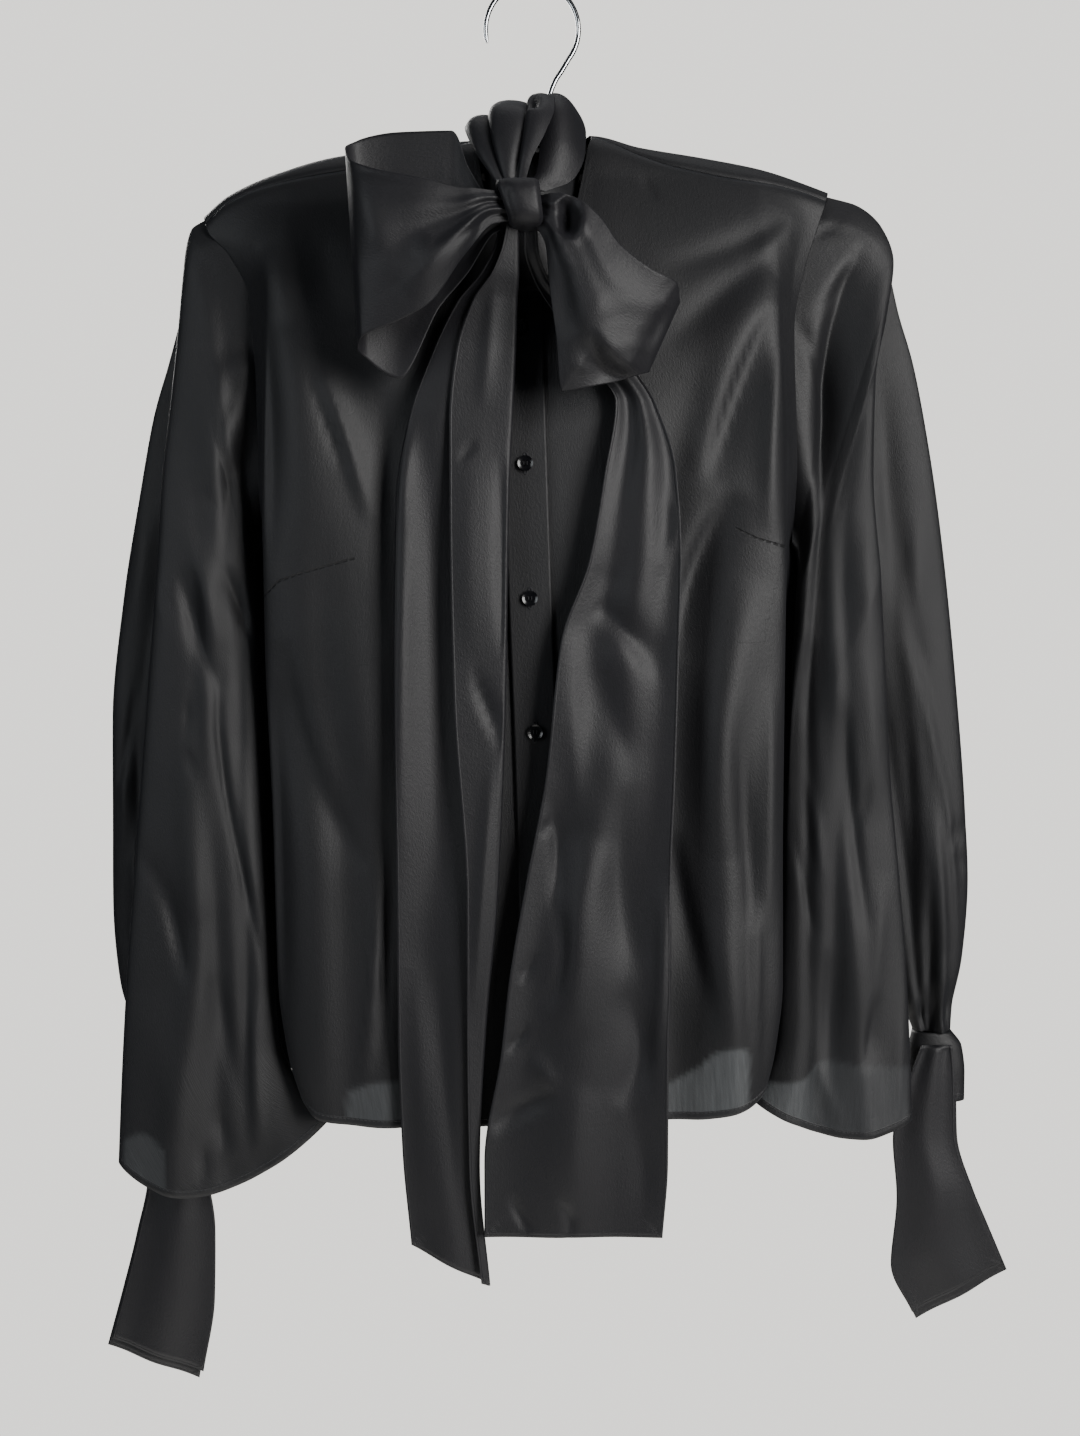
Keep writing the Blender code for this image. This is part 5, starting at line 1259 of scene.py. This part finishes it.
def model_button(polyester):
    """A four-hole shirt button, 9 mm across, face up: a rounded rim, a dished middle and drilled holes."""
    radius, half = BUTTON_WIDTH / 2 * MM, BUTTON_HEIGHT / 2 * MM
    bpy.ops.object.select_all(action="DESELECT")
    bpy.ops.mesh.primitive_cylinder_add(vertices=40, radius=radius, depth=2 * half)
    button = bpy.context.active_object
    bpy.ops.object.mode_set(mode="EDIT")
    shape = bmesh.from_edit_mesh(button.data)
    shape.select_mode = {"FACE"}
    for face in shape.faces:
        face.select_set(face.normal.z > 0.9)
    bmesh.update_edit_mesh(button.data)
    bpy.ops.mesh.inset(thickness=1.1 * MM)
    bpy.ops.transform.translate(value=(0, 0, -0.7 * MM))
    bpy.ops.mesh.inset(thickness=0.7 * MM)
    bpy.ops.transform.translate(value=(0, 0, -0.15 * MM))
    bpy.ops.mesh.select_all(action="DESELECT")
    bpy.ops.object.mode_set(mode="OBJECT")
    holes = []
    for x, y in ((1, 1), (1, -1), (-1, 1), (-1, -1)):
        bpy.ops.mesh.primitive_cylinder_add(
            vertices=16, radius=BUTTON_HOLE * MM, depth=6 * MM,
            location=(BUTTON_HOLE_ASIDE * x * MM, BUTTON_HOLE_ASIDE * y * MM, 0))
        holes.append(bpy.context.active_object)
    for hole in holes:
        cut = button.modifiers.new("hole", "BOOLEAN")
        cut.operation = "DIFFERENCE"
        cut.object = hole
        select_only(button)
        bpy.ops.object.modifier_apply(modifier=cut.name)
    for hole in holes:
        bpy.data.objects.remove(hole)
    edge = button.modifiers.new("soft edge", "BEVEL")
    edge.width = 0.35 * MM
    edge.segments = 3
    edge.limit_method = "ANGLE"
    select_only(button)
    bpy.ops.object.modifier_apply(modifier=edge.name)
    bpy.ops.object.shade_smooth_by_angle(angle=math.radians(40))
    button.data.materials.append(polyester)
    return button


def model_thread(cotton):
    """The sewing thread of a button: two close loops of thread, each through a pair of holes."""
    strands = []
    for x in (-BUTTON_HOLE_ASIDE, BUTTON_HOLE_ASIDE):
        bpy.ops.object.select_all(action="DESELECT")
        bpy.ops.mesh.primitive_torus_add(
            major_segments=28, minor_segments=8, major_radius=BUTTON_HOLE_ASIDE * MM,
            minor_radius=THREAD * MM, location=(x * MM, 0, 0.1 * MM), rotation=(0, math.radians(90), 0))
        strand = bpy.context.active_object
        strand.scale = (0.62, 1.0, 1.0)
        strands.append(strand)
    for strand in strands:
        strand.select_set(True)
    bpy.context.view_layer.objects.active = strands[0]
    bpy.ops.object.join()
    thread = bpy.context.active_object
    apply_all(thread)
    bpy.ops.object.shade_smooth()
    thread.data.materials.append(cotton)
    return thread


def model_buttonhole(cotton):
    """An upright buttonhole, 12 mm long: a bead of close stitches round a slit."""
    bpy.ops.object.select_all(action="DESELECT")
    bpy.ops.mesh.primitive_torus_add(major_segments=72, minor_segments=8,
                                     major_radius=BUTTONHOLE_ROUND * MM, minor_radius=0.55 * MM)
    bead = bpy.context.active_object
    for vertex in bead.data.vertices:
        ring = math.atan2(vertex.co.y, vertex.co.x)
        stitch = 1 + 0.16 * math.sin(ring * 36)
        vertex.co.y += math.copysign(BUTTONHOLE_HALF * MM, vertex.co.y) * min(1, abs(math.sin(ring)) * 3)
        vertex.co.z *= 0.5 * stitch
    bpy.ops.object.shade_smooth()
    bead.data.materials.append(cotton)
    return bead


def set_on_band(model, name, number, lift):
    """A copy of a modelled piece, its face turned to the front, on the button band at a button's place."""
    down = FIRST_BUTTON + BUTTON_STEP * number
    (x, y, z), lean = placket_point(float(CENTRE("x", down)), down)
    copy = model.copy()
    copy.data = model.data.copy()
    copy.name = name
    bpy.context.scene.collection.objects.link(copy)
    copy.rotation_euler = (math.radians(90) + math.atan(lean), 0, 0)
    copy.location = (x * MM, (y - lift) * MM, z * MM)
    apply_all(copy)
    return copy


def make_buttons(polyester, cotton):
    """Six buttons on the band, each with its thread and its buttonhole."""
    button, thread, bead = model_button(polyester), model_thread(cotton), model_buttonhole(cotton)
    for number in range(BUTTON_COUNT):
        lift = 0.3 + BUTTON_HEIGHT / 2
        copy = set_on_band(button, f"shirt_button_{number + 1}", number, lift)
        dress(copy, [f"button_{number + 1}"])
        for model, name, height in ((thread, "button_thread", lift + 0.1), (bead, "buttonhole", 0.1)):
            piece = set_on_band(model, f"{name}_{number + 1}", number, height)
            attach(piece, "root")
    for model in (button, thread, bead):
        bpy.data.objects.remove(model)


def make_wire_hook(steel):
    """The hanger's hook: one bent wire with a rounded end, on a stem that goes down into the collar."""
    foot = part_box("hanger_hook")[0][2]
    centre_down = HOOK_RADIUS - WIRE / 2
    angles = np.radians(np.linspace(-38, 196, 60))
    arc = [(HOOK_RADIUS * math.cos(a), HOOK_RADIUS * math.sin(a) - centre_down) for a in angles]
    stem = Table("down x", (50.5, 18), (56.5, 14), (64, 11), (72, 9.3), (84, 6), (-foot / MM, 3))
    depths = np.linspace(-foot / MM, 50.5, 30)
    route = [(float(stem("x", depth)), -depth) for depth in depths] + arc
    curve = bpy.data.curves.new("wire hook", "CURVE")
    curve.dimensions = "3D"
    curve.bevel_depth = WIRE / 2 * MM
    curve.bevel_resolution = 6
    curve.use_fill_caps = True
    line = curve.splines.new("POLY")
    line.points.add(len(route) - 1)
    for point, (x, z) in zip(line.points, route):
        point.co = (x * MM, 0.0, z * MM, 1.0)
    for end, share in ((-1, 0.35), (-2, 0.75), (-3, 0.95)):
        line.points[end].radius = share
    hook = bpy.data.objects.new("wire_hook", curve)
    bpy.context.scene.collection.objects.link(hook)
    select_only(hook)
    bpy.ops.object.convert(target="MESH")
    hook = bpy.context.active_object
    bpy.ops.object.shade_smooth()
    hook.data.materials.append(steel)
    dress(hook, ["hanger_hook"])


def finish_bar(plastic):
    """The bar stays as the solid that carries the shoulders, with a moulded finish."""
    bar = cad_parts["hanger_bar"]
    bar.data.materials.clear()
    bar.data.materials.append(plastic)


# polyester satin: broad soft lights along the folds over a deep black, and a stitched turned hem
black_cloth = black_satin("black satin, piece-dyed", "#0d0f11", "#151418", roughness=0.57, pucker_mm=0.9,
                          hem_mm=HEM_WIDTH, stitched=1.0)
# the same satin sewn as a ribbon and turned: slightly glossier, with a fine ridge for an edge and no stitches
black_ribbon = black_satin("black satin ribbon, cut on the straight", "#0e1013", "#17151a", roughness=0.55,
                           pucker_mm=0.25, hem_mm=TIE_EDGE, stitched=0.0)
# cast polyester, tumbled to a polish: small sharp highlights on the rim and in the dish
button_polyester = plain_look("black polyester button, polished", "#0d0d10", 0.22, bump_mm=0.02, cell_mm=1.5)
# spun cotton: matt, with no highlight
sewing_cotton = plain_look("black sewing cotton", "#1d1d21", 0.75, bump_mm=0.05, cell_mm=0.3)
# drawn wire under a bright plate: mirror-like streaks that follow the bends
hook_steel = plain_look("nickel-plated steel wire", "#c2c5c8", 0.16, metallic=1.0, bump_mm=0.01, cell_mm=2.0)
# moulded polypropylene: a dull sheen from the fine texture of the mould
bar_plastic = plain_look("moulded black polypropylene", "#17171a", 0.45, bump_mm=0.04, cell_mm=0.8)

make_panels(black_cloth)
make_sleeves(black_cloth, black_ribbon)
make_bow(black_ribbon)
make_buttons(button_polyester, sewing_cotton)
make_wire_hook(hook_steel)
finish_bar(bar_plastic)
